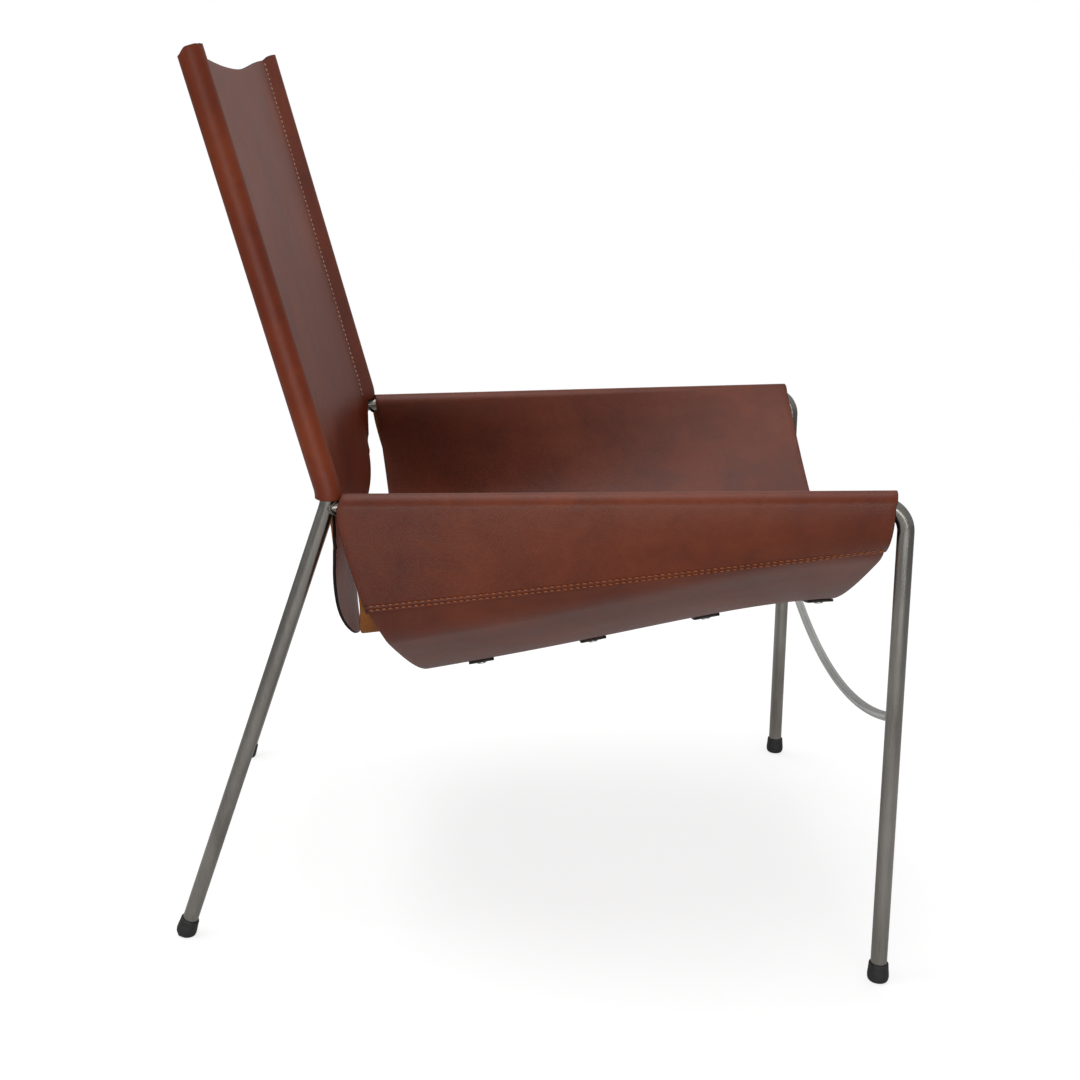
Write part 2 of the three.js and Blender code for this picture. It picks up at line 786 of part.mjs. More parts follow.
// The right half of one row of the seat hide, from the flap's edge to the middle
function seatHalfRow(station) {
  const row = [];
  const place = (point, back) => row.push(new THREE.Vector3(point.x, back, point.y));
  for (let step = flapSteps; step > 0; step -= 1) {
    const back = flapBack(station, step / flapSteps);
    place(flapPoint(station, back, step / flapSteps), back);
  }
  const leave = lerp(innerFrontLeave, innerRearLeave, station);
  for (let step = 0; step < wrapSteps; step += 1) {
    const share = step / wrapSteps;
    const ease = share ** wrapEasePower;
    const back = lerp(flapBack(station, 0), innerBack(station, railFrontHeight), ease);
    const angle = leave * share;
    const round = new THREE.Vector2(Math.cos(angle), Math.sin(angle)).multiplyScalar(wrapRadius);
    place(round.add(railAt(back)), back);
  }
  for (let step = 0; step <= innerSteps; step += 1) {
    const share = step / innerSteps;
    const guess = cubic(...innerCurve(station, innerBack(station, railFrontHeight)), share);
    const back = innerBack(station, guess.y);
    place(cubic(...innerCurve(station, back), share), back);
  }
  return row;
}

function mirrored(point) {
  return new THREE.Vector3(-point.x, point.y, point.z);
}

function addSeat() {
  const rows = [];
  for (let row = 0; row <= seatRows; row += 1) {
    const half = seatHalfRow(row / seatRows);
    rows.push([...half, ...half.slice(0, -1).reverse().map(mirrored)]);
  }
  addPiece('seat_hide', sheetSolid(rows, leatherThickness), hide);
}

// Belly panels: each tucks in behind a flap, turns at a knee and runs down to the middle
function bellyHeight(station, x) {
  const row = Math.min(Math.floor(station * seatRows), seatRows - 1);
  const [before, after] = [row, row + 1].map((place) => {
    const share = place / seatRows;
    const hump = (share * (1 - share) ** 3) / (0.25 * 0.75 ** 3);
    return lerp(bellyFrontHeight, bellyRearHeight, share) + bellyHump * hump;
  });
  const middle = lerp(before, after, station * seatRows - row);
  return middle - bellyRound + Math.hypot(bellyRound, bellySlope * x);
}

function bellyBack(station, x) {
  const knee = lerp(bellyKneeFrontHalf, bellyKneeRearHalf, station);
  const share = (knee - Math.abs(x)) / (bellyKneeRearHalf - bellyInnerHalf);
  return lerp(seatFrontBack, lerp(bellyKneeRearBack, bellyInnerRearBack, share), station);
}

function bellyHalfRow(station) {
  const row = [];
  for (const share of [overlapShare, 1]) {
    const back = flapBack(station, share) - bellyOverlapRearTrim * station;
    const point = flapPoint(station, back, share);
    const before = flapPoint(station, back, overlapShare);
    const after = flapPoint(station, back, 1);
    const inward = new THREE.Vector2(after.y - before.y, before.x - after.x).normalize();
    point.addScaledVector(inward, leatherThickness + seamGap);
    row.push(new THREE.Vector3(point.x, back, point.y));
  }
  const knee = lerp(bellyKneeFrontHalf, bellyKneeRearHalf, station);
  for (const share of bellyShares) {
    const x = lerp(bellyInnerHalf, knee, share);
    row.push(new THREE.Vector3(x, bellyBack(station, x), bellyHeight(station, x)));
  }
  return row;
}

// Where the belly's middle surface lies at a distance back, near the middle of the chair
function bellySurface(x, back) {
  const station = (back - seatFrontBack) / (bellyBack(1, x) - seatFrontBack);
  return new THREE.Vector3(x, back, bellyHeight(station, x));
}

function bellyNormal(x, back) {
  const step = strapThickness;
  const across = bellySurface(x + step, back).sub(bellySurface(x - step, back));
  const along = bellySurface(x, back + step).sub(bellySurface(x, back - step));
  return across.cross(along).normalize();
}

const strapDrop = (leatherThickness + strapThickness) / 2 + fitGap;

function strapPlaces() {
  return strapNames.map((_, index) => strapFirstBack + strapPitch * index);
}

function postPlace(x, back) {
  const up = bellyNormal(x, back);
  return { up, middle: bellySurface(x, back).addScaledVector(up, -(strapThickness + fitGap) / 2) };
}

function postHoles(sides) {
  const holes = [];
  for (const back of strapPlaces()) {
    for (const side of sides) {
      const { up, middle } = postPlace(side * postHalfSpan, back);
      const reach = (leatherThickness + strapThickness) * 2;
      const hole = new THREE.CylinderGeometry(postRadius + fitGap, postRadius + fitGap, reach, postSides);
      holes.push(alignTo(hole.rotateX(Math.PI / 2), middle, up));
    }
  }
  return holes;
}

function addBelly() {
  for (const [name, side] of [['left', 1], ['right', -1]]) {
    const rows = [];
    for (let row = 0; row <= seatRows; row += 1) {
      const half = bellyHalfRow(row / seatRows);
      rows.push(side > 0 ? half : half.map(mirrored).reverse());
    }
    const panel = sheetSolid(rows, leatherThickness);
    addPiece(`belly_panel_${name}`, cutAway(panel, postHoles([side])), hide);
  }
}

function addSeamThread() {
  for (const [name, side] of [['left', 1], ['right', -1]]) {
    for (const [rowName, offset] of [['lower', seamLowerOffset], ['upper', seamUpperOffset]]) {
      const places = [];
      for (let row = 0; row <= seatRows; row += 1) {
        const half = seatHalfRow(row / seatRows);
        const [edge, next] = side > 0 ? half : half.map(mirrored);
        const across = new THREE.Vector3().subVectors(next, edge).normalize();
        const point = edge.clone().addScaledVector(across, offset);
        const outward = new THREE.Vector3(side * across.z, 0, -side * across.x);
        outward.addScaledVector(across, -outward.dot(across)).normalize();
        places.push({ point, lift: outward, across: across.multiplyScalar(side) });
      }
      addPiece(`seam_stitching_${rowName}_${name}`, threadRow(places), orangeThread);
    }
  }
}

function addStraps() {
  strapPlaces().forEach((back, index) => {
    const rows = [];
    for (const edge of [-1, 1]) {
      const row = [];
      for (let step = strapSteps; step >= 0; step -= 1) {
        const x = lerp(-strapHalfLength, strapHalfLength, step / strapSteps);
        const place = back + (edge * strapWidth) / 2;
        row.push(bellySurface(x, place).addScaledVector(bellyNormal(x, place), -strapDrop));
      }
      rows.push(row);
    }
    const strap = sheetSolid(rows, strapThickness);
    addPiece(`${strapNames[index]}_cross_strap`, cutAway(strap, postHoles([-1, 1])), strapLeather);
  });
}

// Screw posts, each with a head above the leather and one below the strap
function addPosts() {
  const reach = (leatherThickness + strapThickness + fitGap) / 2 + postGap;
  const profile = [
    [0, -reach - postHeadThickness],
    [postHeadRadius, -reach - postHeadThickness],
    [postHeadRadius, -reach],
    [postRadius, -reach],
    [postRadius, reach],
    [postHeadRadius, reach],
    [postHeadRadius, reach + postHeadThickness],
    [0, reach + postHeadThickness],
  ];
  strapPlaces().forEach((back, index) => {
    for (const [name, side] of [['left', 1], ['right', -1]]) {
      const { up, middle } = postPlace(side * postHalfSpan, back);
      const post = alignTo(turned(profile, postSides), middle, up);
      addPiece(`${strapNames[index]}_screw_post_${name}`, post, steel);
    }
  });
}

addFrame();
addRods();
addFeetAndPlugs();
addBack();
addBackThread();
addSeat();
addBelly();
addSeamThread();
addStraps();
addPosts();

// The origin is at floor height, in the middle of the chair's outer box
const box = new THREE.Box3().setFromObject(chair, true);
const centre = box.getCenter(new THREE.Vector3());
chair.position.set(-centre.x, -centre.y, -box.min.z);

export default chair;
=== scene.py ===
# Leather sling lounge chair: a welded frame of bent steel tube, a back hide with a sleeve
# over each upright, and a seat hide laid over both arm rails and closed underneath.
# Sizes are millimetres in the chair's own measure, whose Y starts at the front legs.
import bisect
import math
from contextlib import contextmanager

import bmesh
import bpy
from mathutils import Matrix, Vector
from mathutils.kdtree import KDTree


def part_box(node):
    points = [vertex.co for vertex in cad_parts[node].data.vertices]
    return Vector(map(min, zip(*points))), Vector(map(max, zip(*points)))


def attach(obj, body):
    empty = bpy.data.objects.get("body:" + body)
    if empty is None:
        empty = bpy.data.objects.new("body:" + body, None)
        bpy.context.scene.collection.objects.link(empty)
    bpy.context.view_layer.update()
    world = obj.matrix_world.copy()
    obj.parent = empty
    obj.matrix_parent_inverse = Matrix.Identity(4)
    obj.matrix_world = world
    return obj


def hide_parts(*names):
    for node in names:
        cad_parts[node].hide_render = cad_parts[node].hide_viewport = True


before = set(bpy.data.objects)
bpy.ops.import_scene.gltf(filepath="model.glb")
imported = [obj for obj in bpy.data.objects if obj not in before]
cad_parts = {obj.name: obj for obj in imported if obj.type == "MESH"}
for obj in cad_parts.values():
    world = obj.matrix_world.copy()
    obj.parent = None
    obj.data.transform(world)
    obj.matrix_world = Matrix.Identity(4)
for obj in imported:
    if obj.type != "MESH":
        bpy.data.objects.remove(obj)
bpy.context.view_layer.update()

MM = 0.001
MERGE_REACH = 0.00001

# Stock and fits
TUBE_RADIUS = 8
TUBE_WALL = 1.5
ROD_RADIUS = 4.75
LEATHER = 3.5
FIT_GAP = 0.3
LAYER_STEP = LEATHER + FIT_GAP

# Steel frame: distances across are between tube centres
FRONT_TRACK = 586
BEND_TRACK = 538
TOP_TRACK = 566
REAR_TRACK = 474
BEND_BACK = 547
REAR_FOOT_BACK = 701.6
TOP_BACK = 674.7
BEND_HEIGHT = 478
TOP_HEIGHT = 903.2
RAIL_FRONT_HEIGHT = 487.2
RAIL_REAR_HEIGHT = 468.8
RAIL_BEND_RADIUS = 27
BACK_BEND_RADIUS = 40
FRONT_ROD_HEIGHT = 275
REAR_ROD_HEIGHT = 290
ROD_SAG = 52

# Weld beads, rubber feet and tube plugs
RAIL_BEAD_RADIUS = 1.7
ROD_BEAD_RADIUS = 1.5
BEAD_LIFT = 0.6
BEAD_RIPPLES = ((0.07, 26, 0), (0.05, 5, 1))
FOOT_SOLE = 5.3
FOOT_HEIGHT = 19.5
FOOT_SPARE = 8
PLUG_HEAD = 2.5
PLUG_STEM = 12

# Back hide
SLEEVE_BORE = 18.8
SLEEVE_MIDDLE = SLEEVE_BORE / 2 + LEATHER / 2
SLEEVE_BELOW_BEND = 1
SLEEVE_ABOVE_TUBE = 9
STITCH_INBOARD = 28
STITCH_REARWARD = 2
HEM_OVERLAP = 10
PANEL_TOP_DIP = 17
STITCH_TOP_DIP = 3
PANEL_SAG_TOP = 1
PANEL_SAG_BOTTOM = 10
BEND_SHARE = 7 / 9
CORNER_INBOARD = 17
LOBE_BOTTOM_HEIGHT = 254.5
LOBE_SHOULDER_HEIGHT = 374.4
LOBE_SHOULDER_HALF = 180
LOBE_TIP_ROUND = 41
LOBE_RIDGE_HEIGHT = 416
LOBE_RIDGE_BACK = 550.5
LOBE_RIDGE_CROWN = 1.1
LOBE_TIP_BACK = 537.3
LOBE_TIP_CURL = 34.4
LOBE_CUP = 21.6
LOBE_CUP_POWER = 4.36
LOBE_CUP_SPAN = 100
LOBE_LEFT_SET = 11
LOBE_LEFT_POWER = 1.4

# The sleeve's top on the left, 1, and on the right, -1, and the panel's beside them
SLEEVE_TOP_LIFT = {1: 0.4, -1: 1.8}
SLEEVE_TIP_LIFT = {1: 2, -1: 0}
SLEEVE_FRONT_DROP = 2.4
SLEEVE_REAR_DROP = {1: 8, -1: 6.2}
PANEL_LEFT_RISE = 3.6
HEM_TOP_DROP = 10

# Where each easing of the back hide starts and over what run
SLEEVE_REAR_EASE = (1, 10)
SLEEVE_FRONT_EASE = (-8, -3.5)
SLEEVE_OUTER_EASE = (0, -6)
SLEEVE_LIFT_EASE = (-12, 6)
SLEEVE_TIP_EASE = (-1, -8)
HEM_EASE = (0, STITCH_INBOARD)
LOBE_LEFT_EASE = (LOBE_RIDGE_HEIGHT + 14, -52)

# Seat hide
WRAP_RADIUS = TUBE_RADIUS + 0.9 + LEATHER / 2
SEAT_FRONT_BACK = 13
INNER_FRONT_BACK = 9
INNER_FRONT_SLANT = 0.08
INNER_REAR_BACK = 533.5
INNER_REAR_SLANT = 0.145
WRAP_EASE_POWER = 0.63
FLAP_REAR_BACK = 540.2
FLAP_REAR_SWEEP = 29
FLAP_SWEEP_POWER = 1.6
FLAP_EDGE_SAG = 2
FLAP_EDGE_HEIGHT = (436, 364.4)
FLAP_EDGE_HALF = (274.3, 278.3)
FLAP_SHOULDER_DROP = (34, 40)
INNER_LEAVE = (math.radians(128.7), math.pi)
INNER_HANDLE = (150, 145)
SEAT_HEIGHT = (345, 308)
SEAT_FLAT = (90, 300)
SEAT_CORNER_SET = 6.5
SEAT_CORNER_RISE = 3.6
SEAT_CORNER_LOW_EASE = (370, -45)
SEAT_CORNER_RIGHT_EASE = (-90, -110)
SEAT_CORNER_REAR_EASE = (0.45, 0.55)

# Belly panels
BELLY_HEIGHT = (313, 222.5)
BELLY_HUMP = 6.5
BELLY_SLOPE = 0.62
BELLY_ROUND = 60
BELLY_INNER_HALF = 25
KNEE_HALF = (262, 250)
KNEE_ROUND = 16
KNEE_REAR_BACK = 494
INNER_EDGE_REAR_BACK = 451
OVERLAP_SHARE = 0.75
OVERLAP_REAR_TRIM = 2
SEAM_GAP = 0.6

# Cross straps and their screw posts
STRAP_NAMES = ("front", "second", "third", "rear")
STRAP_WIDTH = 28
STRAP_THICKNESS = 3
STRAP_HALF_LENGTH = 58
STRAP_CORNER = 5
STRAP_FIRST_BACK = 25
STRAP_PITCH = 124
POST_HALF_SPAN = 42
POST_RADIUS = 2.4
POST_HEAD_RADIUS = 5
POST_HEAD = 1.2
POST_GAP = 0.5

# Thread
BACK_THREAD_INBOARD = 1.4
BACK_STITCH = {"pitch": 6, "margin": 3, "length": 4.2, "radius": 0.95, "slant": 0.05,
               "lift": LEATHER / 2 + 0.7}
SEAM_OFFSETS = {"lower": 3.4, "upper": 7.6}
SEAM_STITCH = {"pitch": 6.3, "margin": 4, "length": 4.1, "radius": 0.7, "slant": 0.07,
               "lift": LEATHER / 2 + 0.22}
EDGE_SHARE = 0.02
STITCH_CUTS = (-0.36, -0.18, 0, 0.18, 0.36)
STITCH_END_SLIM = 0.12
STITCH_END_DROP = 0.75
NO_STITCH = 1000

front_foot_low, front_foot_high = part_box("front_foot_right")
FRONT_LINE = (front_foot_low.y + front_foot_high.y) / 2


def placed(point):
    """A chair point in millimetres as a frame point in metres."""
    return Vector((point[0] * MM, point[1] * MM + FRONT_LINE, point[2] * MM))


def between(low, high, share):
    return low + (high - low) * share


def eased(value, start, run):
    """How much of its run a value has come from the start, as 0 to 1 with soft ends."""
    share = min(max((value - start) / run, 0), 1)
    return share * share * (3 - 2 * share)


# ------------ frame lines
def frame_points(side):
    def at(track, back, height):
        return Vector((side * track / 2, back, height))

    return {
        "front_foot": at(FRONT_TRACK, 0, 0),
        "front_corner": at(FRONT_TRACK, 0, RAIL_FRONT_HEIGHT),
        "rail_end": at(BEND_TRACK, BEND_BACK, RAIL_REAR_HEIGHT),
        "back_bend": at(BEND_TRACK, BEND_BACK, BEND_HEIGHT),
        "rear_foot": at(REAR_TRACK, REAR_FOOT_BACK, 0),
        "back_top": at(TOP_TRACK, TOP_BACK, TOP_HEIGHT),
    }


def heading(points, start, end):
    """The direction from one named point to another."""
    return (points[end] - points[start]).normalized()


def on_line(low, high, height):
    return low.lerp(high, (height - low.z) / (high.z - low.z))


SIDES = {"left": 1, "right": -1}


# ------------ modelling by hand
def deselect_all():
    bpy.ops.object.select_all(action="DESELECT")


def pick(piece):
    """Makes a piece the only one selected."""
    deselect_all()
    piece.select_set(True)
    bpy.context.view_layer.objects.active = piece


@contextmanager
def editing(piece):
    """Edit mode on one piece."""
    pick(piece)
    bpy.ops.object.mode_set(mode="EDIT")
    yield
    bpy.ops.object.mode_set(mode="OBJECT")


def turn_to(direction):
    return direction.to_track_quat("Z", "Y").to_euler()


def settle(piece):
    """Puts a piece's place into its mesh, with its faces outward."""
    pick(piece)
    bpy.ops.object.transform_apply(location=True, rotation=True, scale=True)
    with editing(piece):
        bpy.ops.mesh.select_all(action="SELECT")
        bpy.ops.mesh.remove_doubles(threshold=MERGE_REACH)
        bpy.ops.mesh.normals_make_consistent(inside=False)
    return piece


def smooth(piece, angle=40):
    pick(piece)
    bpy.ops.object.shade_smooth_by_angle(angle=math.radians(angle))
    return piece


def apply_modifier(piece, kind, **settings):
    pick(piece)
    modifier = piece.modifiers.new(kind.lower(), kind)
    for key, value in settings.items():
        setattr(modifier, key, value)
    bpy.ops.object.modifier_apply(modifier=modifier.name)
    return piece


def finish_piece(piece, name, node, finish=None):
    piece.name = name
    piece.data.name = name
    if finish:
        piece.data.materials.append(finish)
    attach(piece, "root")
    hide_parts(node)
    return piece


def spin_selected(centre, axis, turn, steps):
    bpy.ops.mesh.spin(steps=steps, angle=-turn, center=placed(centre), axis=axis)


def extrude_by(offset):
    bpy.ops.mesh.extrude_region_move(TRANSFORM_OT_translate={"value": offset * MM})


def add_ring(centre, direction, radius, sides):
    deselect_all()
    bpy.ops.mesh.primitive_circle_add(
        vertices=sides, radius=radius * MM, location=placed(centre), rotation=turn_to(direction)
    )
    bpy.ops.object.mode_set(mode="EDIT")
    return bpy.context.active_object


def bend_tube(start, corner, end, bend_radius, radius, sides=40, steps=18):
    """A ring extruded to the bend, spun round it and extruded to the end."""
    incoming = (corner - start).normalized()
    outgoing = (end - corner).normalized()
    turn = incoming.angle(outgoing)
    towards = (outgoing - incoming * incoming.dot(outgoing)).normalized()
    set_back = bend_radius * math.tan(turn / 2)
    bend_start = corner - incoming * set_back
    tube = add_ring(start, incoming, radius, sides)
    extrude_by(bend_start - start)
    spin_selected(bend_start + towards * bend_radius, incoming.cross(towards), turn, steps)
    extrude_by(end - corner - outgoing * set_back)
    bpy.ops.object.mode_set(mode="OBJECT")
    return settle(tube)


def cap_open_ends(piece):
    """Fills each open ring with a face."""
    with editing(piece):
        bpy.ops.mesh.select_mode(type="EDGE")
        bpy.ops.mesh.select_all(action="DESELECT")
        bpy.ops.mesh.select_non_manifold(extend=False, use_wire=False, use_boundary=True,
                                         use_multi_face=False, use_non_contiguous=False,
                                         use_verts=False)
        bpy.ops.mesh.edge_face_add()
        bpy.ops.mesh.select_mode(type="VERT")
        bpy.ops.mesh.select_all(action="SELECT")
        bpy.ops.mesh.normals_make_consistent(inside=False)
    return piece


def hollow(tube):
    """Gives a tube its wall, inward from its surface."""
    return apply_modifier(tube, "SOLIDIFY", thickness=TUBE_WALL * MM, offset=-1, use_rim=True)


def upright_top(side):
    """Where the upright ends, a little way inside its sleeve."""
    points = frame_points(side)
    return points["back_top"] + heading(points, "back_top", "back_bend") * SLEEVE_ABOVE_TUBE


def leg_and_rail(side, radius):
    points = frame_points(side)
    start = points["front_foot"] + Vector((0, 0, FOOT_SOLE + FIT_GAP))
    return bend_tube(start, points["front_corner"], points["rail_end"], RAIL_BEND_RADIUS, radius)


def upright_and_leg(side, radius):
    points = frame_points(side)
    down = heading(points, "back_bend", "rear_foot")
    start = points["rear_foot"] - down * (FOOT_SOLE + FIT_GAP)
    return bend_tube(start, points["back_bend"], upright_top(side), BACK_BEND_RADIUS, radius)


def cut_with(piece, cutter):
    apply_modifier(piece, "BOOLEAN", operation="DIFFERENCE", object=cutter, solver="EXACT")
    bpy.data.objects.remove(cutter)
    return piece


def dipping_rod(left, right, down, steps=44, sides=28):
    """A ring spun along the arc between two legs."""
    half = (right - left).length / 2
    radius = (half * half + ROD_SAG * ROD_SAG) / (2 * ROD_SAG)
    reach = math.asin(half / radius)
    across = (right - left).normalized()
    middle = left.lerp(right, 0.5)
    centre = middle + down * (ROD_SAG - radius)
    direction = across * math.cos(reach) + down * math.sin(reach)
    rod = add_ring(left, direction, ROD_RADIUS, sides)
    spin_selected(centre, direction.cross((centre - left).normalized()), 2 * reach, steps)
    bpy.ops.object.mode_set(mode="OBJECT")
    return cap_open_ends(settle(rod)), direction


def turned(rings, origin, axis, sides=40):
    """A piece made on the lathe: a filled disc drawn up through rings of radius and height."""
    deselect_all()
    radius, height = rings[0]
    bpy.ops.mesh.primitive_circle_add(
        vertices=sides, radius=radius * MM, fill_type="NGON", location=(0, 0, height * MM)
    )
    piece = bpy.context.active_object
    with editing(piece):
        for next_radius, next_height in rings[1:]:
            extrude_by(Vector((0, 0, next_height - height)))
            share = next_radius / radius
            bpy.ops.transform.resize(
                value=(share, share, 1), center_override=(0, 0, next_height * MM)
            )
            radius, height = next_radius, next_height
    settle(piece)
    turn = Vector((0, 0, 1)).rotation_difference(axis).to_matrix().to_4x4()
    piece.data.transform(Matrix.Translation(placed(origin)) @ turn)
    return piece


# ------------ sheets of leather
def keeps_all(row, column):
    return True


def sheet_piece(name, rows, keeps, flip, marks):
    """A grid of middle points as a mesh, with each point's distance from the cut edge and
    any further marks kept as attributes."""
    mesh = bpy.data.meshes.new(name)
    work = bmesh.new()
    columns = len(rows[0])
    corners = {}

    def corner(row, column):
        if (row, column) not in corners:
            corners[row, column] = work.verts.new(placed(rows[row][column]))
        return corners[row, column]

    for row in range(len(rows) - 1):
        for column in range(columns - 1):
            if keeps(row, column):
                quad = [corner(row, column), corner(row, column + 1),
                        corner(row + 1, column + 1), corner(row + 1, column)]
                work.faces.new(quad[::-1] if flip else quad)
    work.verts.index_update()
    places = {vertex.index: key for key, vertex in corners.items()}
    rim = [vertex.co.copy() for vertex in work.verts if vertex.is_boundary]
    work.to_mesh(mesh)
    work.free()
    tree = KDTree(len(rim))
    for index, point in enumerate(rim):
        tree.insert(point, index)
    tree.balance()
    margin = mesh.attributes.new("margin", "FLOAT", "POINT")
    for index, vertex in enumerate(mesh.vertices):
        margin.data[index].value = tree.find(vertex.co)[2]
    for mark, values in (marks or {}).items():
        layer = mesh.attributes.new(mark, "FLOAT", "POINT")
        for index in range(len(mesh.vertices)):
            row, column = places[index]
            layer.data[index].value = values[row][column] * MM
    piece = bpy.data.objects.new(name, mesh)
    bpy.context.scene.collection.objects.link(piece)
    return piece


def thicken(piece, finishes, thickness, edge, sides):
    """Gives a sheet its thickness, with the first finish on its face, the second on its
    back and the third on its cut edges."""
    for finish in finishes:
        piece.data.materials.append(finish)
    apply_modifier(piece, "SOLIDIFY", thickness=thickness * MM, offset=0, use_even_offset=True,
                   use_rim=True, material_offset=1, material_offset_rim=2)
    apply_modifier(piece, "BEVEL", width=edge * MM, segments=sides, limit_method="ANGLE",
                   angle_limit=math.radians(60))
    return smooth(piece, 50)


def sheet_area(rows, keeps):
    total = 0
    for row in range(len(rows) - 1):
        for column in range(len(rows[0]) - 1):
            if keeps(row, column):
                first = rows[row + 1][column + 1] - rows[row][column]
                second = rows[row + 1][column] - rows[row][column + 1]
                total += first.cross(second).length / 2
    return total * MM * MM


def hide_piece(name, node, rows, finishes, keeps=keeps_all, flip=False, marks=None,
               thickness=LEATHER, edge=0.7, sides=2):
    """A finished piece of leather and the area of its sheet."""
    sheet = sheet_piece(name, rows, keeps, flip, marks)
    thicken(sheet, finishes, thickness, edge, sides)
    return finish_piece(sheet, name, node), sheet_area(rows, keeps)


def sheet_run(points):
    """Distance along a line of points."""
    runs = [0]
    for before, after in zip(points, points[1:]):
        runs.append(runs[-1] + (after - before).length)
    return runs


# ------------ back hide surface
def upright_places(side):
    points = frame_points(side)
    down = points["back_bend"] - points["back_top"]
    run = down.length
    down.normalize()
    onward = heading(points, "back_bend", "rear_foot")
    turn = down.angle(onward)
    towards = (onward - down * onward.dot(down)).normalized()
    straight = run - BACK_BEND_RADIUS * math.tan(turn / 2)
    length = straight + BACK_BEND_RADIUS * turn / 2 + SLEEVE_BELOW_BEND
    inboard = Vector((-side, 0, 0))
    inboard = (inboard - down * inboard.dot(down)).normalized()

    def place(share, dip, inward, behind):
        if share <= BEND_SHARE:
            distance = straight * share / BEND_SHARE
        else:
            distance = between(straight, length, (share - BEND_SHARE) / (1 - BEND_SHARE))
        distance += dip * (1 - share)
        past = max(0, distance - straight)
        angle = past / BACK_BEND_RADIUS
        along = down * math.cos(angle) + towards * math.sin(angle)
        rearward = inboard.cross(along) * -side
        return (
            points["back_top"]
            + down * (distance - past + BACK_BEND_RADIUS * math.sin(angle))
            + towards * BACK_BEND_RADIUS * (1 - math.cos(angle))
            + inboard * inward
            + rearward * behind
        )

    return place


def sleeve_section(arc_steps=40, front_steps=6, hem_steps=5):
    """Places across one sleeve as distances inboard of and behind the tube's centre, and the
    column from which the sheet runs on into the lobe."""

    def touching(inboard, rearward, turn):
        distance = math.hypot(inboard, rearward)
        return math.atan2(rearward, inboard) + turn * math.acos(SLEEVE_MIDDLE / distance)

    def straight(start, end, steps, first=0):
        shares = [step / steps for step in range(first, steps + first)]
        return [(between(start[0], end[0], s), between(start[1], end[1], s)) for s in shares]

    hem_behind = STITCH_REARWARD + LAYER_STEP
    front = touching(STITCH_INBOARD, STITCH_REARWARD, -1)
    rear = touching(STITCH_INBOARD, hem_behind, 1) - 2 * math.pi
    angles = [between(rear, front, step / arc_steps) for step in range(arc_steps + 1)]
    arc = [(SLEEVE_MIDDLE * math.cos(a), SLEEVE_MIDDLE * math.sin(a)) for a in angles]
    seam = (STITCH_INBOARD, hem_behind)
    section = straight((STITCH_INBOARD + HEM_OVERLAP, hem_behind), seam, hem_steps)
    section += straight(seam, arc[0], front_steps) + arc
    inboard, rearward = arc[-1]
    share = (CORNER_INBOARD - inboard) / (STITCH_INBOARD - inboard)
    corner = (CORNER_INBOARD, between(rearward, STITCH_REARWARD, share))
    section += straight(arc[-1], corner, 2, 1)
    corner_column = len(section) - 1
    section += straight(corner, (STITCH_INBOARD, STITCH_REARWARD), front_steps, 1)
    return section, corner_column


SECTION, CORNER_COLUMN = sleeve_section()
STITCH_COLUMN = len(SECTION) - 1
PANEL_STEPS = 96
SLEEVE_ROWS = 72
LOBE_ROWS = 56
FOLD_HEIGHT = 446
FOLD_HALF = 85
FOLD_REACH = 17
FOLD_EASE = (FOLD_HALF, -40)
FOLD_COLUMN_EASE = (0, 12)
SPREAD_STEPS = 3


def back_row(share):
    halves = []
    for side in (1, -1):
        place = upright_places(side)
        row = []
        for column, (inward, behind) in enumerate(SECTION):
            lip = 0
            if column > CORNER_COLUMN:
                lip = (inward - CORNER_INBOARD) / (STITCH_INBOARD - CORNER_INBOARD)
            # The sleeve's top is domed, and lower behind and at the hem
            outer = eased(inward, *SLEEVE_OUTER_EASE)
            top = SLEEVE_REAR_DROP[side] * eased(behind, *SLEEVE_REAR_EASE)
            top += SLEEVE_FRONT_DROP * eased(behind, *SLEEVE_FRONT_EASE) * outer
            top -= SLEEVE_TOP_LIFT[side] * eased(behind, *SLEEVE_LIFT_EASE)
            top -= SLEEVE_TIP_LIFT[side] * eased(behind, *SLEEVE_TIP_EASE)
            if behind > 0 and column < CORNER_COLUMN:
                top += HEM_TOP_DROP * eased(inward, *HEM_EASE)
            row.append(place(share, between(top, STITCH_TOP_DIP, lip), inward, behind))
        halves.append(row)
    places = [upright_places(1), upright_places(-1)]
    sag = between(PANEL_SAG_TOP, PANEL_SAG_BOTTOM, share)
    panel = []
    for step in range(1, PANEL_STEPS):
        across = step / PANEL_STEPS
        bow = 1 - (2 * across - 1) ** 2
        dip = between(STITCH_TOP_DIP, PANEL_TOP_DIP, bow)
        # The top edge stands a little higher on the left half, by a cubic whose peak is 4/27
        left = min(across / 0.5, 1)
        dip -= PANEL_LEFT_RISE * (27 / 4) * left * (1 - left) ** 2
        ends = [place(share, dip, STITCH_INBOARD, STITCH_REARWARD + sag * bow) for place in places]
        panel.append(ends[0].lerp(ends[1], across))
    return halves[0] + panel + halves[1][::-1]


def lobe_edge_height(x):
    def curve(across):
        return math.hypot(across, LOBE_TIP_ROUND) - LOBE_TIP_ROUND

    return between(LOBE_BOTTOM_HEIGHT, LOBE_SHOULDER_HEIGHT, curve(x) / curve(LOBE_SHOULDER_HALF))


